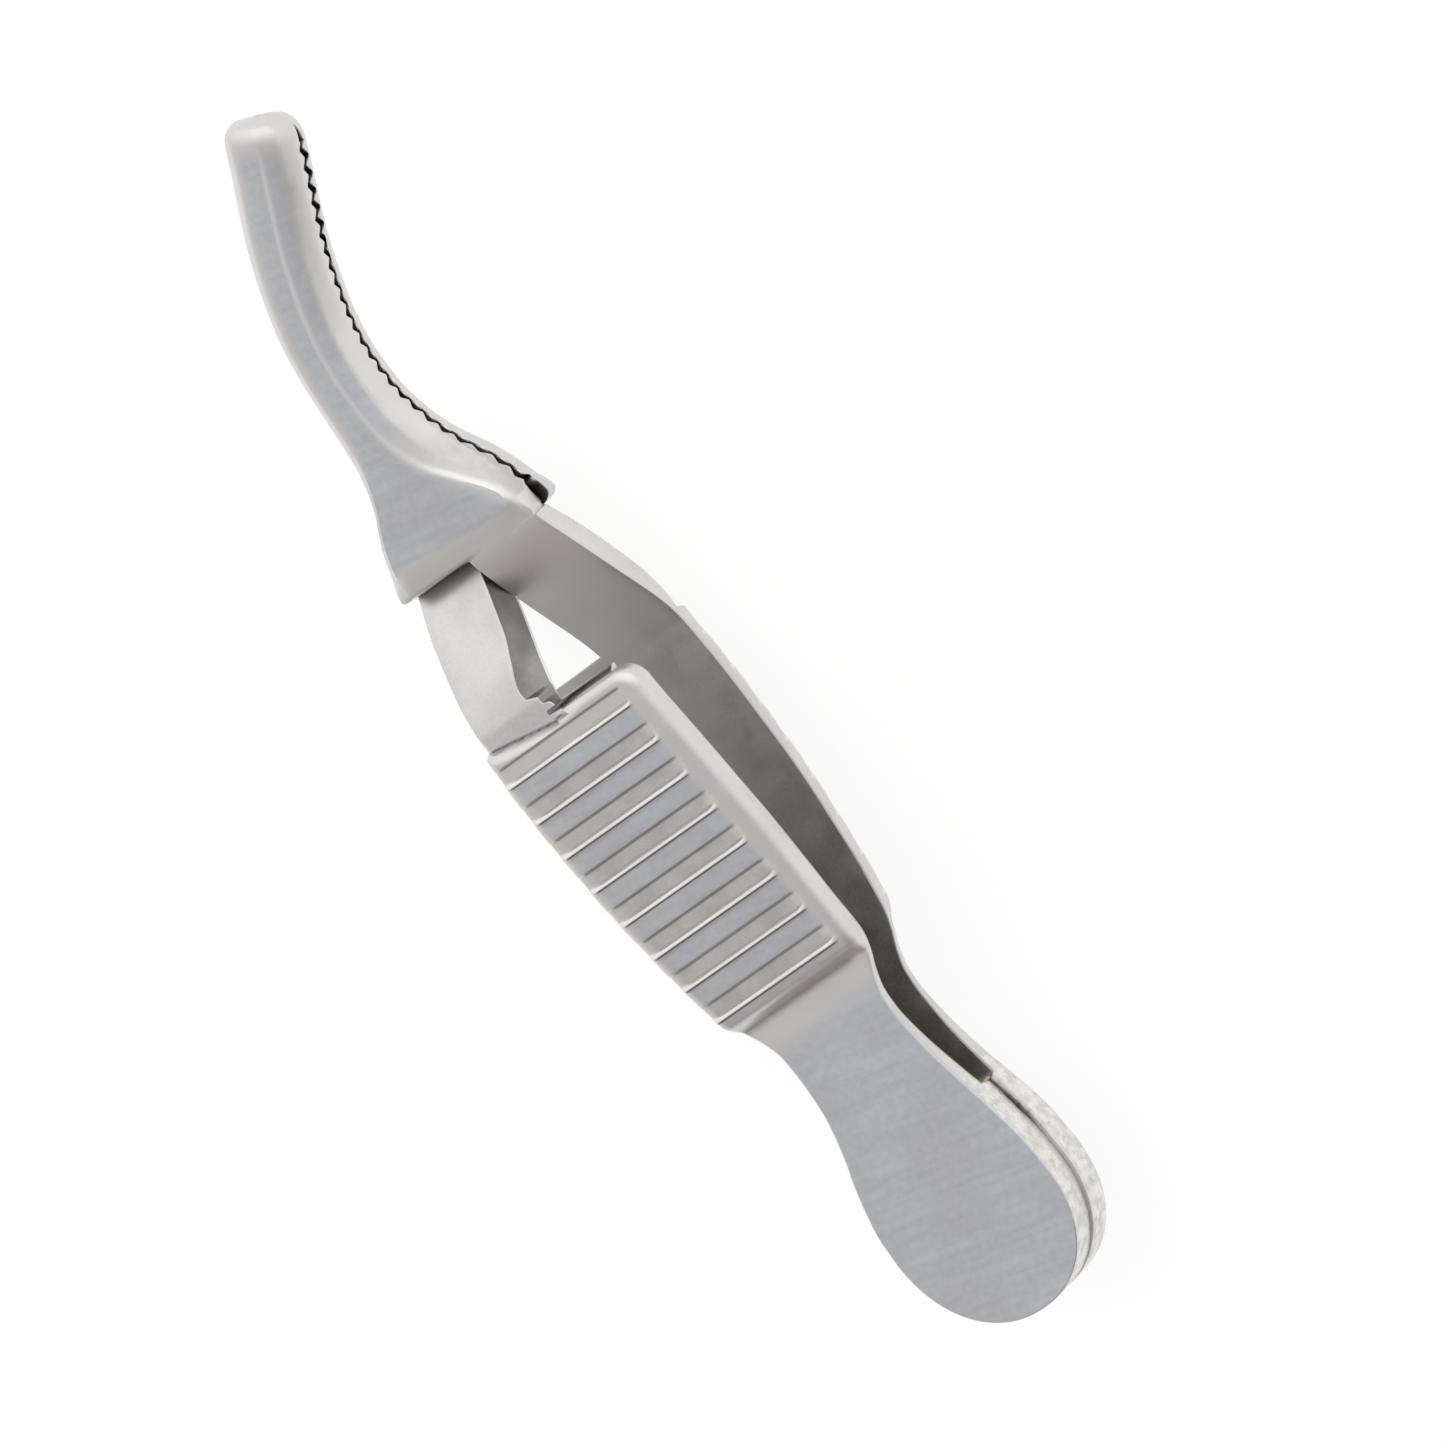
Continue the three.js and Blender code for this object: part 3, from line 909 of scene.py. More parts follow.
@dataclass
class Section:
    """Turns a leaf's form into rings of points, each with the same count.

    A ring runs along the outer face from low to high x, down the free wall, back along the inner
    face and up the stem wall. Along the stem, part of each face's points stand on the cut wall.
    """

    form: LeafForm
    rim_steps: int = 6
    wall_steps: int = 3
    widest_rim: float = 0.3
    shares: tuple[float, ...] = (
        0.0, 0.012, 0.022, 0.032, 0.045, 0.06, 0.1, 0.16, 0.22, 0.28, 0.34, 0.4, 0.45, 0.5,
        0.6, 0.7, 0.8, 0.86, 0.89, 0.905, 0.92, 0.935, 0.95, 0.965, 0.978, 0.99, 1.0,
    )
    on_top: int = 26
    cut_reach: float = 0.9
    foot_reach: float = 0.06
    crowned: Pair = (32.4, 34.3)
    tip_height: float = 0.3
    bar_ramp: Pair = (35.5, 38.5)
    foot_heights: Pair = (0.42, 0.16)
    foot_ramp: Pair = (32.8, 37.0)
    crown_weights: tuple[float, ...] = (0.16, 0.1, 0.08, 0.24, 0.06, 0.14, 0.16, 0.06)
    crown_angles: tuple[int, ...] = (0, 30, 50, 62, 104, 114, 142, 172, 180)
    crown_power: float = 2.12
    flank_across: float = 0.55
    flank_height: float = 0.42
    least_wall: float = 0.5
    rough: float = 0.03
    rough_along: Pair = (9.5, 6.5)
    rough_from_end: Pair = (0.0, 1.0)
    rough_scale: Triple = (3.0, 2.6, 2.2)

    def __post_init__(self) -> None:
        """Counts the points of a face and of a ring."""
        self.face_count = len(self.shares) + 2 * self.rim_steps
        self.count = 2 * self.face_count + 2 * self.wall_steps

    def _rim(self, radius: float) -> list[float]:
        """How far in from an edge the points of a rim lie, from the edge inwards."""
        return [radius * share for share in bunched(self.rim_steps)[:-1]]

    def _laterals(self, left: float, right: float, radius: float) -> list[float]:
        """Places across a full-width face, from its lowest to its highest x.

        Args:
            left: the face's lowest x.
            right: its highest x.
            radius: the radius of its rims.

        Returns:
            The places across.
        """
        radius = min(radius, (right - left) * self.widest_rim)
        rim = self._rim(radius)
        across = [mix(left + radius, right - radius, share) for share in self.shares]
        return [left + o for o in rim] + across + [right - o for o in reversed(rim)]

    def _stem_laterals(self, left: float, right: float, radius: float) -> list[float]:
        """Places across the stem, from its lowest x to the cut.

        Args:
            left: the stem's lowest x.
            right: where the cut is.
            radius: the radius of the outer rim.

        Returns:
            The places across.
        """
        plain, sharp = self.on_top - 2 * self.rim_steps, self.form.cut_round
        across = [mix(left + radius, right - sharp, i / (plain - 1)) for i in range(plain)]
        low = [left + o for o in self._rim(radius)]
        return low + across + [right - o for o in reversed(self._rim(sharp))]

    def faces(self, t: float) -> tuple[list[Pair], list[Pair]]:
        """The outer and inner face at t, as places across and heights, from low to high x.

        Args:
            t: the place along the leaf.

        Returns:
            The outer face's points and the inner face's.
        """
        form = self.form
        if t >= form.wing_start:
            return self._closing(t), self._back(t)
        lay = self._stem_laterals if t > form.lip_end else self._laterals
        left, right = form.edges(t, Face.OUTER)
        places = lay(left, right, form.edge_round(t))
        outer = [(x, form.outer_height(t, x, left, right)) for x in places]
        left, right = form.edges(t, Face.INNER)
        places = lay(left, right, form.inner_round(t))
        inner = [(x, form.inner_height(t, x, left, right)) for x in places]
        if t > form.lip_end:
            self._stand_on_cut(outer, inner)
        return outer, inner

    def _stand_on_cut(self, outer: list[Pair], inner: list[Pair]) -> None:
        """Adds the points that stand on the cut wall, most of them to the outer face.

        Args:
            outer: the outer face's points across the stem's top, which grow down the cut.
            inner: the inner face's points, which grow up the cut from its foot.
        """
        top, foot = outer[-1], inner[-1]
        spare = self.face_count - self.on_top
        for i in range(1, spare + 1):
            outer.append(mix_pairs(top, foot, self.cut_reach * i / spare))
            inner.append(mix_pairs(foot, top, self.foot_reach * i / spare))

    def _closing(self, t: float) -> list[Pair]:
        """The jaw's closing face at t.

        Args:
            t: the place along the leaf.

        Returns:
            The points from low to high x.
        """
        left, right = self.form.edges(t, Face.OUTER)
        places = self._laterals(left, right, self.form.closing_rim)
        return [(x, self.form.closing_height(t, x, left, right)) for x in places]

    def _back(self, t: float) -> list[Pair]:
        """The jaw's back at t: flat where the stem arrives, then crowned.

        Args:
            t: the place along the leaf.

        Returns:
            The points from low to high x.
        """
        share = smoothstep(*self.crowned, t)
        crowned = self._crown(t)
        if share >= 1:
            return crowned
        places = self._laterals(*self.form.edges(t, Face.INNER), self.form.back_rim)
        level = self.form.inner(t)
        turned = [mix_pairs((x, level), point, share) for x, point in zip(places, crowned)]
        return [(x, z + self.form.end_drop(t, x)) for x, z in turned]

    def _crown(self, t: float) -> list[Pair]:
        """The jaw's crowned back at t.

        Near the root it is a steep flank on the stem's side, a ridge and a flat facet. Towards the
        tip it turns into a plain round back.

        Args:
            t: the place along the leaf.

        Returns:
            The points from low to high x.
        """
        form = self.form
        left, right = form.edges(t, Face.INNER)
        middle, half, top = (left + right) / 2, (right - left) / 2, form.stem_top(t)
        height = (top - form.inner(t)) * mix(self.tip_height, 1.0, form.tip_share(t))
        walls = [min(self.least_wall, (form.wall_foot + cut) / height) for cut in form.notches(t)]
        corners, line = self._corners(t), [(middle - half, top - height * walls[0])]
        for k, count in reversed(list(enumerate(self._split()))):
            for i in reversed(range(count)):
                v, h = self._crown_point(corners, k, i / count, form.crown_round(t))
                lowest = walls[0 if v < 0 else 1]
                line.append((middle + half * v, top - height * max(lowest, h)))
        return line

    def _corners(self, t: float) -> list[Pair]:
        """The faceted back's corners at t, from the free edge to the stem's side.

        Args:
            t: the place along the leaf.

        Returns:
            For each corner how far across it is, from 1 to -1, and how high, from 0 to 1.
        """
        ridge = self.form.ridge(t)
        foot = mix(*self.foot_heights, smoothstep(*self.foot_ramp, t))
        crest = ((0.05 - ridge, 1.0), (-0.03 - ridge, 0.985))
        end = ((-0.995, foot), (-1.0, 0.0))
        flank = (-mix(ridge, 1, self.flank_across), mix(1, foot, self.flank_height))
        root = ((1.0, 0.0), (0.985, 0.4), (0.94, 0.72), (0.85, 0.95), *crest, flank, *end)
        bar = ((1.0, 0.0), (0.985, 0.24), (0.84, 0.58), (0.62, 0.87), *crest, (-0.64, 0.84), *end)
        share = smoothstep(*self.bar_ramp, t)
        return [mix_pairs(a, b, share) for a, b in zip(root, bar)]

    def _split(self) -> list[int]:
        """Shares the points of a face between the stretches of the crown.

        Returns:
            The number of points on each stretch.
        """
        counts = [max(1, round(weight * (self.face_count - 1))) for weight in self.crown_weights]
        widest = counts.index(max(counts))
        counts[widest] += self.face_count - 1 - sum(counts)
        return counts

    def _crown_point(self, corners: list[Pair], k: int, s: float, round_share: float) -> Pair:
        """One point of the crown, between the faceted and the round back.

        Args:
            corners: the faceted back's corners.
            k: which stretch between two corners.
            s: how far along the stretch.
            round_share: 0 for the faceted back, 1 for the round one.

        Returns:
            The place across, from 1 to -1, and the height, from 0 to 1.
        """
        angle = math.radians(mix(self.crown_angles[k], self.crown_angles[k + 1], s))
        power = 2 / self.crown_power
        whole = (swollen(math.cos(angle), power), swollen(math.sin(angle), power))
        return mix_pairs(mix_pairs(corners[k], corners[k + 1], s), whole, round_share)

    def _wall(self, top: Pair, bottom: Pair, t: float, side: int) -> list[Pair]:
        """Points down a side wall, uneven on the brazed tail.

        Args:
            top: the first end of the wall.
            bottom: the other end.
            t: the place along the leaf.
            side: -1 for the stem's side, 1 for the free one.

        Returns:
            The points between the two ends.
        """
        rough = self.rough * smoothstep(*self.rough_along, t) * smoothstep(*self.rough_from_end, t)
        hand, (apart, along, upright) = self.form.place.value, self.rough_scale
        made = []
        for i in range(1, self.wall_steps + 1):
            x, z = mix_pairs(top, bottom, i / (self.wall_steps + 1))
            bump = noise.noise(Vector((side * apart * hand, t * along, z * upright)))
            made.append((x + side * bump * rough, z))
        return made

    def ring(self, t: float) -> list[Pair]:
        """The closed ring of points at t, as places across and heights.

        Args:
            t: the place along the leaf.

        Returns:
            The points in order, the last next to the first.
        """
        outer, inner = self.faces(t)
        free_wall = self._wall(outer[-1], inner[-1], t, 1)
        stem_wall = self._wall(inner[0], outer[0], t, -1)
        return [*outer, *free_wall, *reversed(inner), *stem_wall]

    def face_of(self, column: int) -> Optional[Face]:
        """Which broad face a column of the ring belongs to, or None for a wall.

        Args:
            column: the place round the ring.

        Returns:
            The face, or None.
        """
        if column < self.face_count - 1:
            return Face.OUTER
        start = self.face_count + self.wall_steps
        return Face.INNER if start <= column < start + self.face_count - 1 else None

    def in_rim(self, column: int) -> bool:
        """Whether a column of the outer face lies on one of its rounded rims."""
        return column < self.rim_steps - 1 or column > self.face_count - self.rim_steps


# ---- shader expressions ---------------------------------------------------------------------


Number = Union[float, "Value"]


def arithmetic(operation: str, swapped: bool = False) -> Callable[["Value", Number], "Value"]:
    """Makes one of Value's operators, which adds a Math node.

    Args:
        operation: the Math node's operation.
        swapped: whether the value is the second of the two numbers.

    Returns:
        The operator.
    """

    def apply(self: "Value", other: Number) -> "Value":
        """Adds the Math node and gives its result.

        Args:
            other: the other number.

        Returns:
            The result.
        """
        first, second = (other, self) if swapped else (self, other)
        node = self.painter.node("ShaderNodeMath", {"operation": operation}, {0: first, 1: second})
        return Value(self.painter, node.outputs[0])

    return apply


@dataclass
class Value:
    """A shader socket that carries a number, and can be used in arithmetic."""

    painter: "Painter"
    socket: bpy.types.NodeSocket

    __add__ = arithmetic("ADD")
    __radd__ = arithmetic("ADD", swapped=True)
    __sub__ = arithmetic("SUBTRACT")
    __rsub__ = arithmetic("SUBTRACT", swapped=True)
    __mul__ = arithmetic("MULTIPLY")
    __rmul__ = arithmetic("MULTIPLY", swapped=True)

    def ramp(self, low: float, high: float) -> "Value":
        """Rises smoothly from 0 at low to 1 at high.

        Args:
            low: where it is 0.
            high: where it is 1.

        Returns:
            The ramp's value.
        """
        node = self.painter.node(
            "ShaderNodeMapRange",
            {"interpolation_type": "SMOOTHSTEP", "clamp": True},
            {"Value": self, "From Min": low, "From Max": high},
        )
        return Value(self.painter, node.outputs["Result"])


Input = Union[float, tuple, Value, bpy.types.NodeSocket]


@dataclass
class Painter:
    """Adds nodes to a material's or a world's tree."""

    tree: bpy.types.NodeTree

    @classmethod
    def of(cls, owner: Union[bpy.types.Material, bpy.types.World]) -> "Painter":
        """A painter for the empty tree of a new material or world.

        Args:
            owner: the material or world.

        Returns:
            The painter.
        """
        owner.use_nodes = True
        owner.node_tree.nodes.clear()
        return cls(owner.node_tree)

    def node(
        self,
        kind: str,
        settings: Optional[dict[str, object]] = None,
        inputs: Optional[dict[Union[str, int], Input]] = None,
    ) -> bpy.types.Node:
        """Adds a node of any type.

        Args:
            kind: the node's type name.
            settings: properties of the node, set before its sockets.
            inputs: a value or a link for each named or numbered socket.

        Returns:
            The new node.
        """
        made = self.tree.nodes.new(kind)
        for name, value in (settings or {}).items():
            setattr(made, name, value)
        for name, value in (inputs or {}).items():
            if isinstance(value, Value):
                value = value.socket
            if isinstance(value, bpy.types.NodeSocket):
                self.tree.links.new(value, made.inputs[name])
            else:
                made.inputs[name].default_value = value
        return made

    def blend(
        self, share: Input, first: Input, second: Input, kind: str = "MIX"
    ) -> bpy.types.NodeSocket:
        """Mixes two colours by a share.

        Args:
            share: how much of the second.
            first: the first colour.
            second: the second colour.
            kind: the way they are mixed.

        Returns:
            The mixed colour.
        """
        settings = {"data_type": "RGBA", "blend_type": kind}
        node = self.node("ShaderNodeMix", settings, {0: share, 6: first, 7: second})
        return node.outputs[2]

    def places(self, turn: float = 0.0, stretch: Triple = (1, 1, 1)) -> bpy.types.NodeSocket:
        """Object coordinates in millimetres, turned about Z and then stretched.

        Args:
            turn: the turn in degrees.
            stretch: how many times finer along each axis.

        Returns:
            The coordinates.
        """
        place = self.node("ShaderNodeTexCoord").outputs["Object"]
        rotation, scale = (0, 0, math.radians(turn)), tuple(s / MM for s in stretch)
        for name, value in (("Rotation", rotation), ("Scale", scale)):
            place = self.node("ShaderNodeMapping", None, {"Vector": place, name: value}).outputs[0]
        return place

    def noise(
        self, places: bpy.types.NodeSocket, scale: float, detail: float = 2.0, rough: float = 0.5
    ) -> Value:
        """Smooth noise, about 0.5 on average.

        Args:
            places: the coordinates.
            scale: how fine it is.
            detail: how many finer layers it has.
            rough: how strong the finer layers are.

        Returns:
            The noise, from 0 to 1.
        """
        inputs = {"Vector": places, "Scale": scale, "Detail": detail, "Roughness": rough}
        return Value(self, self.node("ShaderNodeTexNoise", None, inputs).outputs["Fac"])

    def attribute(self, name: str) -> Value:
        """A number that the mesh carries at each point."""
        node = self.node("ShaderNodeAttribute", {"attribute_name": name})
        return Value(self, node.outputs["Fac"])

    def surface(self, inputs: dict[Union[str, int], Input]) -> None:
        """Ends a material with a principled surface."""
        shader = self.node("ShaderNodeBsdfPrincipled", None, inputs)
        self.node("ShaderNodeOutputMaterial", None, {"Surface": shader.outputs["BSDF"]})

    def metal(self, colour: Input, metallic: float, rough: Value, height: Value) -> None:
        """Ends a material with an uneven metal surface.

        Args:
            colour: the metal's colour.
            metallic: how much of a metal it is.
            rough: its roughness.
            height: the height of its unevenness, in micrometres.
        """
        bump = self.node(
            "ShaderNodeBump", None, {"Strength": 1.0, "Distance": 1e-6, "Height": height}
        )
        self.surface(
            {"Base Color": colour, "Metallic": metallic, "Roughness": rough,
             "Normal": bump.outputs["Normal"]}
        )


# ---- finishes -------------------------------------------------------------------------------


Colour = tuple[float, float, float, float]


def grey(level: float, warmth: float = 0.0) -> Colour:
    """A grey of a linear level, warmer or bluer by a share."""
    return (level * (1 + warmth), level * (1 + 0.25 * warmth), level * (1 - warmth), 1.0)


@dataclass(frozen=True)
class SteelFinish:
    """One way that the stainless steel is finished.

    Attributes:
        name: the material's name.
        colour: the metal's colour.
        second: the colour that it drifts to in patches.
        roughness: how much it blurs what it reflects.
        unevenness: how far the roughness drifts in patches.
        patch: how many patches there are to a millimetre.
        lines: how deep the tool's lines are, in micrometres.
        line_turn: which way the lines run, in degrees from the y axis.
        line_count: how fine the lines are, to a millimetre.
        grain: how deep the blasted or forged grain is, in micrometres.
        grain_count: how fine the grain is, to a millimetre.
        pits: how much of the surface has tiny bright specks.
        blotches: how dark the brown blotches are.
        stain, satin, bare: the brown of painted shade and of the blotches, and the colours of satin
            stretches and of bare metal, which also paints the groove walls' highlight.
        drift_ramp: where the noise turns from one colour to the other.
        line_stretch: how drawn out the tool's lines are, along and up.
        line_tint, grain_tint: how much the lines and the grain shade the colour.
        tint_ramp, shades: the range of that shading, and its darkest and brightest grey.
        blotch_count, blotch_ramp: how fine the blotches are, and where they set in.
        grained_stain: how much painted shade there is without grain, and how much more with it.
        line_blur, stain_blur: how much the lines, and the painted shade with the blotches, add to the
            roughness.
        pit_count, pit_ramp, pit_strength: how fine, how rare and how strong the specks are.
        pit_colour: the specks' colour.
    """

    name: str
    colour: Colour
    second: Colour
    roughness: float
    unevenness: float = 0.06
    patch: float = 0.5
    lines: float = 0.0
    line_turn: float = 0.0
    line_count: float = 14.0
    grain: float = 1.0
    grain_count: float = 9.0
    pits: float = 0.0
    blotches: float = 0.0
    # the brown that paints shade and the blotches
    stain: Colour = (0.06, 0.043, 0.034, 1.0)
    satin: Colour = grey(0.66, 0.03)
    bare: Colour = grey(0.84, 0.01)
    drift_ramp: Pair = (0.34, 0.66)
    line_stretch: Pair = (0.22, 0.3)
    line_tint: float = 0.12
    grain_tint: float = 0.16
    tint_ramp: Pair = (-0.14, 0.14)
    shades: tuple[Colour, Colour] = (grey(0.86), grey(1.14))
    blotch_count: float = 3.4
    blotch_ramp: Pair = (0.5, 0.72)
    grained_stain: Pair = (0.75, 0.5)
    line_blur: float = 0.16
    stain_blur: float = 0.15
    pit_count: float = 4.0
    pit_ramp: Pair = (0.79, 0.8)
    pit_strength: float = 0.7
    pit_colour: Colour = grey(0.9)

    def material(self) -> bpy.types.Material:
        """Builds the finish as a node material.

        Returns:
            The material, which reads the mesh's painted shade, its satin polish, and its wear with
            painted highlight.
        """
        made = bpy.data.materials.new(self.name)
        paint = Painter.of(made)
        plain = paint.places()
        drift = paint.noise(plain, self.patch, 3.0).ramp(*self.drift_ramp)
        along = paint.places(self.line_turn, (self.line_count, *self.line_stretch))
        line = paint.noise(along, 1.0, 2.0, 0.6) - 0.5
        grain = paint.noise(plain, self.grain_count, 3.0, 0.6)
        lined = 1.0 if self.lines else 0.0
        tint = line * (self.line_tint * lined) + (grain - 0.5) * self.grain_tint
        light = paint.blend(tint.ramp(*self.tint_ramp), *self.shades)
        colour = paint.blend(drift, self.colour, self.second)
        colour = paint.blend(1.0, colour, light, "MULTIPLY")
        colour = paint.blend(paint.attribute("polish"), colour, self.satin)
        blotch = paint.noise(plain, self.blotch_count, 3.0, 0.65).ramp(*self.blotch_ramp)
        # painted shade from the mesh, heavier where the grain is coarse, plus the real brown blotches
        plain_shade, more = self.grained_stain
        tarnish = paint.attribute("tarnish") * (plain_shade + more * grain)
        tarnish = tarnish + blotch * self.blotches
        colour = paint.blend(tarnish.ramp(0.0, 1.0), colour, self.stain)
        # bare metal where rubbed, and the painted highlight on the groove walls
        colour = paint.blend(paint.attribute("worn"), colour, self.bare)
        if self.pits:
            low, high = self.pit_ramp
            spots = paint.noise(plain, self.pit_count, 1.0).ramp(low - self.pits, high)
            colour = paint.blend(spots * self.pit_strength, colour, self.pit_colour)
        rough = self.roughness + (drift - 0.5) * (2 * self.unevenness)
        rough = rough + line * (self.line_blur * lined) + tarnish * self.stain_blur
        paint.metal(colour, 1.0, rough, line * self.lines + (grain - 0.5) * self.grain)
        return made


class Finish(Enum):
    """Every finish of the clamp, in the order of a leaf's material slots."""

    GROUND = SteelFinish(
        "ground_steel", grey(0.63, -0.022), grey(0.58, -0.012), 0.34,
        patch=0.35, lines=0.6, line_turn=102, line_count=4, grain=0.3, grain_count=3.5,
    )
    SATIN = SteelFinish(
        "satin_steel", grey(0.68, 0.022), grey(0.62, 0.018), 0.38, patch=0.4, grain=0.9,
    )
    GROOVE = SteelFinish(
        "groove_steel", grey(0.62, 0.03), grey(0.54, 0.03), 0.4, patch=0.9, grain=2.2,
    )
    SAWN = SteelFinish(
        "sawn_side_steel", grey(0.8, 0.03), grey(0.67, 0.045), 0.5,
        unevenness=0.1, patch=2.6, grain=13.0, grain_count=6.0, pits=0.05, blotches=0.28,
    )
    # Milled steel, darker than the milling alone makes it: partly painted shade from the other stem
    # and the shadowed floor that the cut faces.
    MILLED = SteelFinish(
        "milled_steel", grey(0.27, 0.06), grey(0.2, 0.07), 0.42,
        lines=6.0, line_turn=90, line_count=7, grain=1.5,
    )
    # Darker than the steel: painted shade on the faces that the two leaves turn to each other.
    INNER = SteelFinish(
        "inner_steel", grey(0.36, 0.06), grey(0.28, 0.07), 0.42, patch=0.8, grain=2.0,
    )
    TEETH = SteelFinish(
        "toothed_steel", grey(0.62, 0.03), grey(0.5, 0.05), 0.34, patch=1.2, grain=1.6,
    )


@dataclass(frozen=True)
class BrazeFinish:
    """The brazing metal: a brown line, patchy, and pinkish where a bead stands proud."""

    name: str = "braze_metal"
    dull: Colour = (0.17, 0.125, 0.095, 1.0)
    steel: Colour = (0.6, 0.56, 0.5, 1.0)
    bright: Colour = (0.5, 0.36, 0.31, 1.0)
    metallic: float = 0.85
    unevenness: float = 8.0

    def material(self) -> bpy.types.Material:
        """Builds the finish as a node material.

        Returns:
            The material, which reads the mesh's bare and bead attributes.
        """
        made = bpy.data.materials.new(self.name)
        paint = Painter.of(made)
        places = paint.places()
        patches = paint.noise(places, 1.6, 3.0, 0.6)
        bare = patches.ramp(0.5, 0.66) * 0.8 + paint.attribute("bare")
        colour = paint.blend(bare.ramp(0.0, 1.0), self.dull, self.steel)
        colour = paint.blend(paint.attribute("bead"), colour, self.bright)
        height = paint.noise(places, 6.0, 3.0) * self.unevenness
        paint.metal(colour, self.metallic, 0.42 + (patches - 0.5) * 0.3, height)
        return made


# ---- pieces ---------------------------------------------------------------------------------


@dataclass
class Loft:
    """A closed skin over a row of rings, made from a grid whose points are put in place."""

    stations: list[float]
    ring: Callable[[float], list[Vector]]

    def build(self) -> tuple[bmesh.types.BMesh, bmesh.types.BMLayerItem, bmesh.types.BMLayerItem]:
        """Builds the skin.

        Returns:
            The mesh, and the layers that hold each face's station and column.
        """
        rings = [self.ring(t) for t in self.stations]
        rows, columns = len(rings) - 1, len(rings[0])
        mesh = bmesh.new()
        row_layer = mesh.faces.layers.int.new("station")
        column_layer = mesh.faces.layers.int.new("column")
        bmesh.ops.create_grid(
            mesh, x_segments=rows, y_segments=columns, size=0.5,
            matrix=Matrix.Diagonal((rows, columns, 1, 1)),
        )
        corner = Vector((rows / 2, columns / 2, 0))
        for skin in mesh.faces:
            middle = skin.calc_center_median() + corner
            skin[row_layer], skin[column_layer] = int(middle.x), int(middle.y)
        for point in mesh.verts:
            at = point.co + corner
            point.co = rings[round(at.x)][round(at.y) % columns]
        bmesh.ops.remove_doubles(mesh, verts=mesh.verts, dist=1e-8)
        ends = [edge for edge in mesh.edges if edge.is_boundary]
        for cap in bmesh.ops.holes_fill(mesh, edges=ends, sides=0)["faces"]:
            cap[row_layer] = 0 if cap.calc_center_median().y < rings[rows // 2][0].y else rows - 1
            cap[column_layer] = columns - 1
        bmesh.ops.recalc_face_normals(mesh, faces=mesh.faces)
        return mesh, row_layer, column_layer


def finish_piece(mesh: bmesh.types.BMesh, name: str, sharp: float) -> bpy.types.Object:
    """Turns a mesh into a smooth-shaded object in the scene.

    Args:
        mesh: the mesh, which is freed.
        name: the object's name.
        sharp: the angle in degrees past which an edge stays sharp.

    Returns:
        The new object.
    """
    for skin in mesh.faces:
        skin.smooth = True
    for edge in mesh.edges:
        if len(edge.link_faces) == 2 and edge.calc_face_angle(0.0) > math.radians(sharp):
            edge.smooth = False
    data = bpy.data.meshes.new(name)
    mesh.to_mesh(data)
    mesh.free()
    return add_object(name, data)


def add_object(name: str, data: bpy.types.ID) -> bpy.types.Object:
    """Adds an object for a mesh, a camera or a light to the scene.

    Args:
        name: the object's name.
        data: what it shows.

    Returns:
        The new object.
    """
    made = bpy.data.objects.new(name, data)
    bpy.context.scene.collection.objects.link(made)
    return made


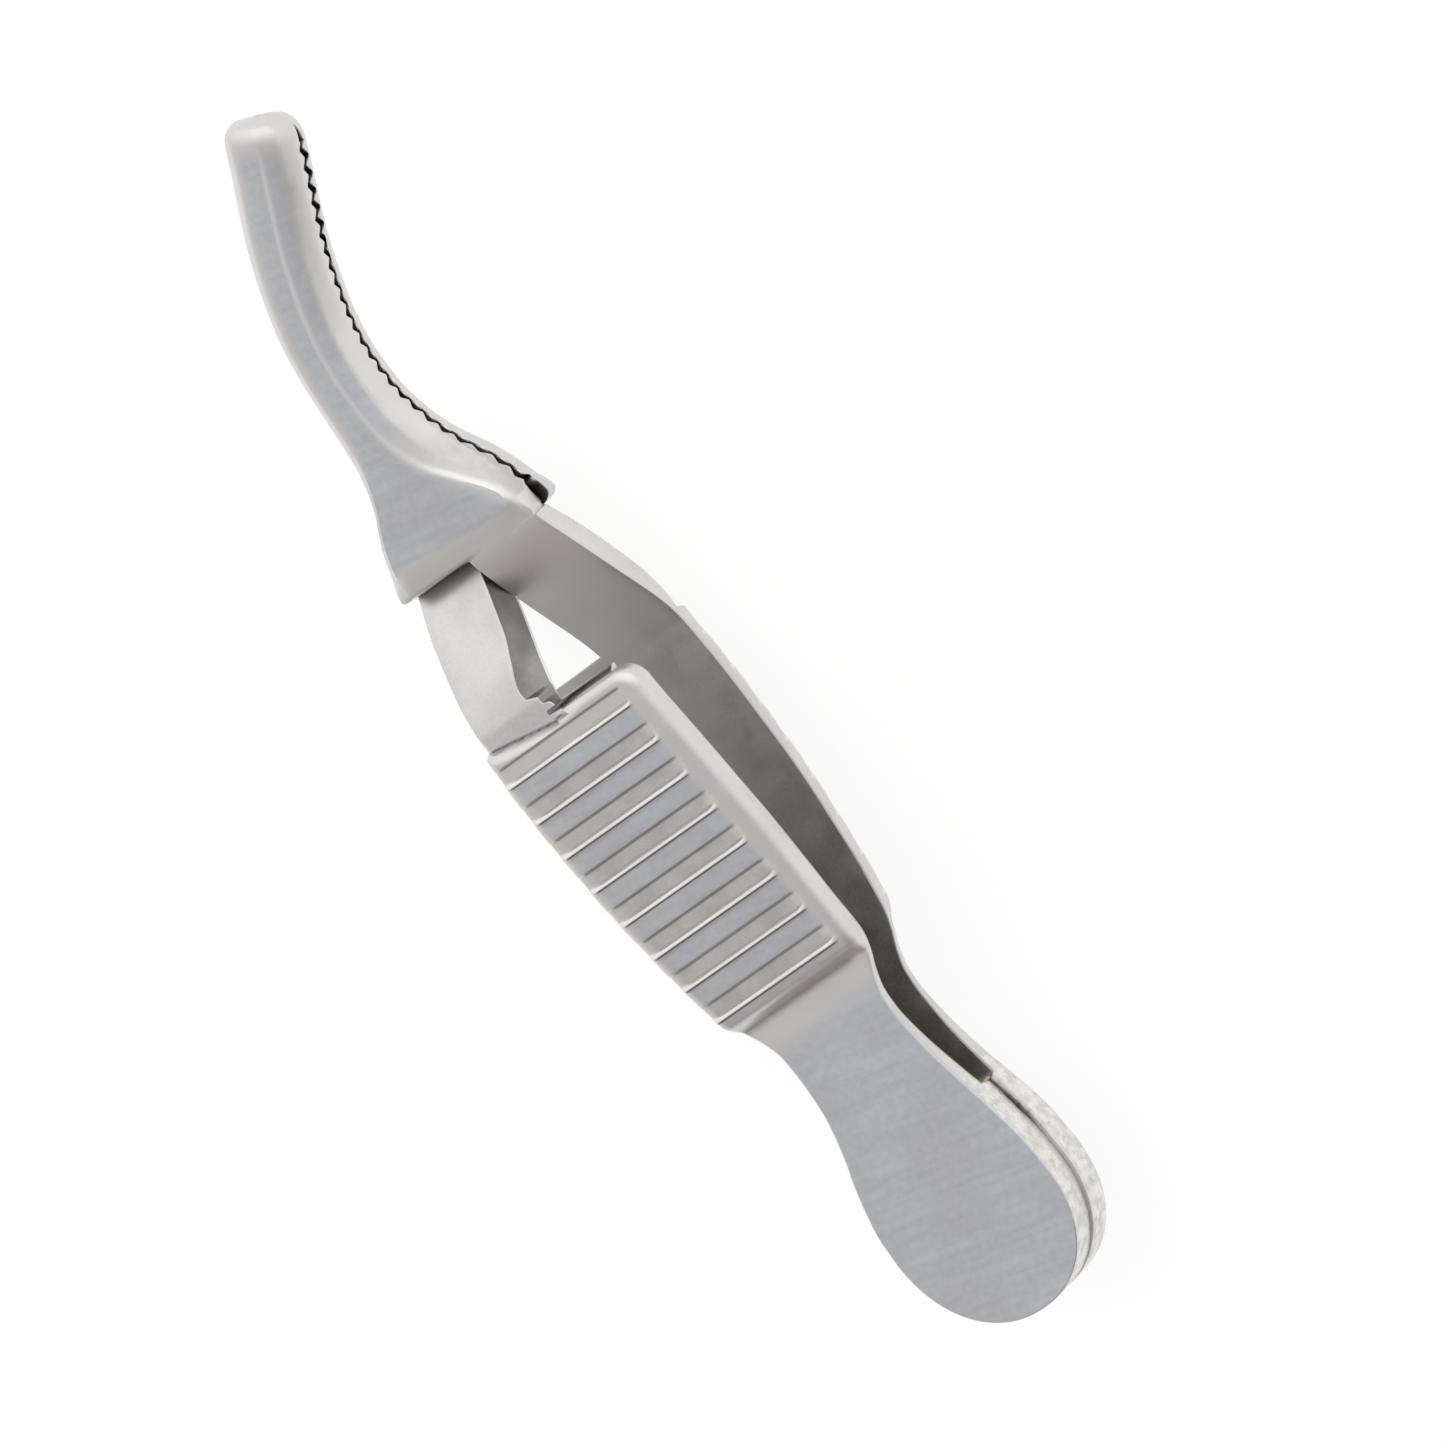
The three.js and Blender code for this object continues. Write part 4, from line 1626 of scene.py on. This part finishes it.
@dataclass
class Leaf:
    """One forged leaf, in one piece from its tail to its jaw."""

    form: LeafForm
    datum: Datum
    finishes: dict[Finish, bpy.types.Material]
    bend_start: float = 7.7
    bend_end: float = 13.5
    sharp: float = 34.0
    sawn_end: float = 8.2
    rim_start: float = 13.78
    groove_start: float = 14.0
    groove_floor: float = 0.6
    lip_column: int = 18
    teeth_lead: float = 0.15
    cut_columns: int = 4

    @property
    def side(self) -> str:
        """The word that the leaf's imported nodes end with."""
        return self.form.place.name.lower()

    def make(self) -> bpy.types.Object:
        """Builds the leaf, dresses it and hides the imported nodes that it stands for.

        Returns:
            The finished piece.
        """
        section = Section(self.form)
        stations = self.form.stations()
        mesh, row, column = Loft(stations, lambda t: self._place(section, t)).build()
        for skin in mesh.faces:
            t = (stations[skin[row]] + stations[skin[row] + 1]) / 2
            skin.material_index = list(Finish).index(self._finish(section, t, skin[column]))
        self._mark(mesh, section)
        made = finish_piece(mesh, "leaf_" + self.side, self.sharp)
        for finish in Finish:
            made.data.materials.append(self.finishes[finish])
        self._join(made)
        return made

    def _place(self, section: Section, t: float) -> list[Vector]:
        """The ring at t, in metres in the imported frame.

        Args:
            section: the leaf's section.
            t: the place along the leaf.

        Returns:
            The ring's points.
        """
        middle, across = self.form.frame_at(t)
        hand = self.form.place.value
        spots = [(middle + across * x, z) for x, z in section.ring(t)]
        return [self.datum.place(hand * at.x, at.y, hand * z) for at, z in spots]

    def _finish(self, section: Section, t: float, column: int) -> Finish:
        """The finish of one small face.

        Args:
            section: the leaf's section, which knows the columns.
            t: the place along the leaf.
            column: the place round the ring.

        Returns:
            The finish.
        """
        form, face = self.form, section.face_of(column)
        on_stem = form.lip_end < t < form.wing_start
        if face is Face.OUTER:
            if t > form.teeth.first - self.teeth_lead:
                return Finish.TEETH
            if on_stem:
                return Finish.MILLED if column >= section.on_top - 1 else Finish.SATIN
            if t > form.plate_end:
                on_lip = column > self.lip_column and t < form.lip_end
                return Finish.MILLED if on_lip else Finish.SATIN
            if t > self.rim_start and section.in_rim(column):
                return Finish.SATIN
            cut = form.grooves.depth_at(0.0, t) > self.groove_floor * form.grooves.depth
            return Finish.GROOVE if cut and t > self.groove_start else Finish.GROUND
        if face is Face.INNER:
            if t < form.lip_end:
                # inner faces past the slot get the dark inner finish: painted shade between the two
                # leaves
                return Finish.INNER if t > form.slot else Finish.SAWN
            if on_stem and section.count - column - section.wall_steps > section.on_top:
                return Finish.MILLED
            return Finish.GROUND if t > form.wing_start else Finish.SATIN
        if t < self.sawn_end:
            return Finish.SAWN
        on_cut = on_stem and column < section.count / 2 + self.cut_columns
        return Finish.MILLED if on_cut else Finish.SATIN

    def _mark(self, mesh: bmesh.types.BMesh, section: Section) -> None:
        """Writes each point's painted shade, polish, and wear with painted highlight.

        Args:
            mesh: the leaf's mesh, in place.
            section: the leaf's section.
        """
        shading_and_wear = ShadeAndWear(self.form)
        marks = {"tarnish": shading_and_wear.tarnish, "polish": shading_and_wear.polish, "worn": shading_and_wear.worn}
        layers = {name: mesh.verts.layers.float.new(name) for name in marks}
        column = mesh.faces.layers.int["column"]
        for point in mesh.verts:
            y = (point.co.y - self.datum.tail_end) / MM
            x = self.form.place.value * (point.co.x - self.datum.middle) / MM
            faces = [section.face_of(skin[column]) for skin in point.link_faces]
            face = Face.OUTER if Face.OUTER in faces else Face.INNER
            if face in faces:
                along, across = self._where(x, y)
                for name, mark in marks.items():
                    point[layers[name]] = mark(along, across, face)

    def _where(self, x: float, y: float) -> Pair:
        """The place along the leaf and across it of a point of its plan.

        Args:
            x: the point's place across the clamp.
            y: its place along the clamp.

        Returns:
            The place along and the place across.
        """
        form = self.form
        if y < form.route.start:
            return y, x
        at = Vector((x, y))
        nearest = min(range(len(form.points)), key=lambda k: (form.points[k] - at).length_squared)
        low, high = max(0, nearest - 1), min(len(form.points) - 1, nearest + 1)
        chord = form.points[high] - form.points[low]
        out = at - form.points[low]
        share = out.dot(chord) / chord.length_squared
        across = out.dot(Vector((chord.y, -chord.x)).normalized())
        return mix(form.along[low], form.along[high], share), across

    def _join(self, made: bpy.types.Object) -> None:
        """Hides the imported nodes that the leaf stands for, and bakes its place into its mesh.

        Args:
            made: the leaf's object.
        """
        parts = ("tail_pad", "spring_neck", "grip_plate", "crossing_stem")
        jaw = {Place.UPPER: "jaw_lower", Place.LOWER: "jaw_upper"}[self.form.place]
        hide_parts(*(part + "_" + self.side for part in parts), jaw)
        height = self.form.place.value * 1.0
        self.datum.place(0, self.bend_start, height)
        self.datum.place(0, self.bend_end, height)
        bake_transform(made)


@dataclass
class BrazeLine:
    """The brazing metal between the two tails, and its two beads where the slot begins."""

    datum: Datum
    form: LeafForm
    material: bpy.types.Material
    inset: float = 0.004
    overlap: float = 0.008
    end: float = 7.52
    step: float = 0.17
    end_steps: int = 20
    ring_points: int = 20
    side_power: float = 0.12
    top_power: float = 0.3
    swell: float = 0.015
    swell_count: float = 1.7
    bare_ramp: Pair = (6.0, 4.4)
    bead: Triple = (0.16, 0.1, 0.3)
    bead_inset: float = 0.14
    bead_ahead: float = 0.06
    bead_tone: float = 0.8
    sharp: float = 40.0

    def make(self) -> bpy.types.Object:
        """Builds the line and its beads, and rides them on the tail.

        Returns:
            The finished piece.
        """
        depth = self.form.tail_depth
        stations = [self.inset + depth * share for share in bunched(self.end_steps)[1:]]
        stations += spread(depth + 0.2, self.end, self.step)
        mesh, _, _ = Loft(stations, self._ring).build()
        bare = mesh.verts.layers.float.new("bare")
        bead = mesh.verts.layers.float.new("bead")
        for point in mesh.verts:
            point[bare] = smoothstep(*self.bare_ramp, (point.co.y - self.datum.tail_end) / MM)
        left, right = self.form.edges(self.end, Face.INNER)
        for x in (left + self.bead_inset, right - self.bead_inset):
            self._add_bead(mesh, bead, x)
        made = finish_piece(mesh, "braze_line", self.sharp)
        made.data.materials.append(self.material)
        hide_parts("braze_seam")
        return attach(made, "tail")

    def _ring(self, t: float) -> list[Vector]:
        """The thin section of the line at t.

        Args:
            t: the place along the leaf.

        Returns:
            The ring's points.
        """
        left, right = self.form.edges(max(0.001, t - self.inset), Face.INNER)
        half, ring = (right - left) / 2 - self.inset, []
        for i in range(self.ring_points):
            angle = 2 * math.pi * (i + 0.5) / self.ring_points
            v = swollen(math.cos(angle), self.side_power)
            h = swollen(math.sin(angle), self.top_power)
            uneven = self.swell * noise.noise(Vector((v, t * self.swell_count, 0.0)))
            x = (left + right) / 2 + v * (half + uneven)
            ring.append(self.datum.place(x, t, h * (self.form.inner(t) + self.overlap)))
        return ring

    def _add_bead(
        self, mesh: bmesh.types.BMesh, bead: bmesh.types.BMLayerItem, x: float
    ) -> None:
        """Adds a drop of metal at one end of the slot.

        Args:
            mesh: the line's mesh, which the drop joins.
            bead: the layer that gives the drop its own colour.
            x: where the drop is, across the clamp.
        """
        place = Matrix.Translation(self.datum.place(x, self.end + self.bead_ahead, 0))
        size = Matrix.Diagonal((*(s * MM for s in self.bead), 1))
        drop = bmesh.ops.create_uvsphere(
            mesh, u_segments=20, v_segments=12, radius=1.0, matrix=place @ size
        )
        for point in drop["verts"]:
            point[bead] = self.bead_tone


# ---- studio ---------------------------------------------------------------------------------


@dataclass(frozen=True)
class Softbox:
    """A square area light, by its direction from the clamp, distance, width, power and colour."""

    name: str
    direction: Triple
    distance: float
    width: float
    power: float
    colour: Triple


@dataclass(frozen=True)
class TentWall:
    """One side of the light tent: its direction, where it sets in, and its colour."""

    direction: Triple
    ramp: Pair
    colour: Colour


@dataclass
class Studio:
    """A pale floor inside a soft light tent, with one long-lens camera above the free side."""

    datum: Datum
    camera_right: Triple = (0.6853, -0.6176, -0.3859)
    camera_up: Triple = (0.4833, 0.7821, -0.3933)
    shift_right: float = -11.86
    shift_up: float = 19.7
    view_width: float = 50.17
    lens: float = 900.0
    sensor: float = 36.0
    clip: Pair = (0.01, 20.0)
    floor_size: float = 6.0
    floor_gap: float = 2.2
    floor_colour: Colour = (0.3, 0.3, 0.3, 1.0)
    floor_glow: float = 0.77
    aim: float = 25.0
    softboxes: tuple[Softbox, ...] = (
        Softbox("softbox_jaw_side", (0.45, 0.75, 0.75), 0.5, 0.8, 0.5, (1.0, 0.985, 0.96)),
        Softbox("softbox_free_side", (0.95, -0.1, 0.35), 0.5, 0.7, 0.25, (1.0, 0.97, 0.94)),
    )
    tent_colour: Colour = (0.9, 0.885, 0.865, 1.0)
    tent_walls: tuple[TentWall, ...] = (
        TentWall((0.0, 0.0, 1.0), (0.25, 0.75), (0.66, 0.66, 0.685, 1.0)),
        TentWall((0.0, 0.93, 0.3), (0.2, 0.9), (1.12, 1.11, 1.09, 1.0)),
        TentWall((0.0, -1.0, 0.1), (0.3, 0.9), (0.42, 0.38, 0.35, 1.0)),
    )

    def build(self) -> None:
        """Sets up the camera, the floor, the tent and the lights."""
        self._add_camera()
        self._add_floor()
        self._add_tent()
        for box in self.softboxes:
            self._add_softbox(box)
        bpy.context.scene.view_settings.view_transform = "Standard"

    def _add_camera(self) -> None:
        """Adds the camera and makes it the scene's own."""
        right, up = Vector(self.camera_right), Vector(self.camera_up)
        back = right.cross(up).normalized()
        lens = bpy.data.cameras.new("camera")
        lens.lens, lens.sensor_width = self.lens, self.sensor
        lens.clip_start, lens.clip_end = self.clip
        distance = self.view_width / self.sensor * self.lens * MM
        centre = self.datum.place(0, 0, 0) + (right * self.shift_right + up * self.shift_up) * MM
        turn = Matrix((right, up, back)).transposed().to_4x4()
        camera = add_object("camera", lens)
        camera.matrix_world = Matrix.Translation(centre + back * distance) @ turn
        bpy.context.scene.camera = camera

    def _add_floor(self) -> None:
        """Adds the plain floor, low enough for the jaws to open above it."""
        mesh = bmesh.new()
        bmesh.ops.create_grid(mesh, x_segments=1, y_segments=1, size=self.floor_size / 2)
        bmesh.ops.translate(mesh, verts=mesh.verts, vec=(0, 0, CAD_BOX[0].z - self.floor_gap * MM))
        floor = finish_piece(mesh, "floor", 30)
        made = bpy.data.materials.new("floor_card")
        Painter.of(made).surface(
            {"Base Color": self.floor_colour, "Roughness": 0.9, "Specular IOR Level": 0.0,
             "Emission Color": grey(1.0), "Emission Strength": self.floor_glow}
        )
        floor.data.materials.append(made)

    def _add_tent(self) -> None:
        """Lights the world as a tent: bluish overhead, warm beside the jaws, dim at the tail."""
        world = bpy.data.worlds.new("light_tent")
        bpy.context.scene.world = world
        paint = Painter.of(world)
        direction = paint.node("ShaderNodeTexCoord").outputs["Generated"]
        colour: Input = self.tent_colour
        for wall in self.tent_walls:
            towards = paint.node(
                "ShaderNodeVectorMath", {"operation": "DOT_PRODUCT"},
                {0: direction, 1: Vector(wall.direction).normalized()},
            )
            share = Value(paint, towards.outputs["Value"]).ramp(*wall.ramp)
            colour = paint.blend(share, colour, wall.colour)
        glow = paint.node("ShaderNodeBackground", None, {"Color": colour, "Strength": 1.0})
        paint.node("ShaderNodeOutputWorld", None, {"Surface": glow.outputs[0]})

    def _add_softbox(self, box: Softbox) -> None:
        """Adds one area light that looks at the clamp's middle.

        Args:
            box: the light's size, place and strength.
        """
        light = bpy.data.lights.new(box.name, "AREA")
        light.size, light.energy, light.color = box.width, box.power, box.colour
        lamp = add_object(box.name, light)
        away = Vector(box.direction).normalized()
        lamp.location = self.datum.place(0, self.aim, 0) + away * box.distance
        lamp.rotation_mode = "QUATERNION"
        lamp.rotation_quaternion = away.to_track_quat("Z", "Y")


def main() -> None:
    """Builds the clamp and its studio, piece by piece."""
    logging.basicConfig(level=logging.INFO, format="%(name)s: %(message)s")
    datum = Datum.from_frame()
    finishes = {finish: finish.value.material() for finish in Finish}
    leaves = [Leaf(LeafForm(place), datum, finishes) for place in Place]
    for leaf in leaves:
        made = leaf.make()
        log.info("%s has %d faces", made.name, len(made.data.polygons))
    line = BrazeLine(datum, leaves[0].form, BrazeFinish().material()).make()
    log.info("%s has %d faces", line.name, len(line.data.polygons))
    Studio(datum).build()
    log.info("studio is set")


if __name__ == "__main__":
    main()
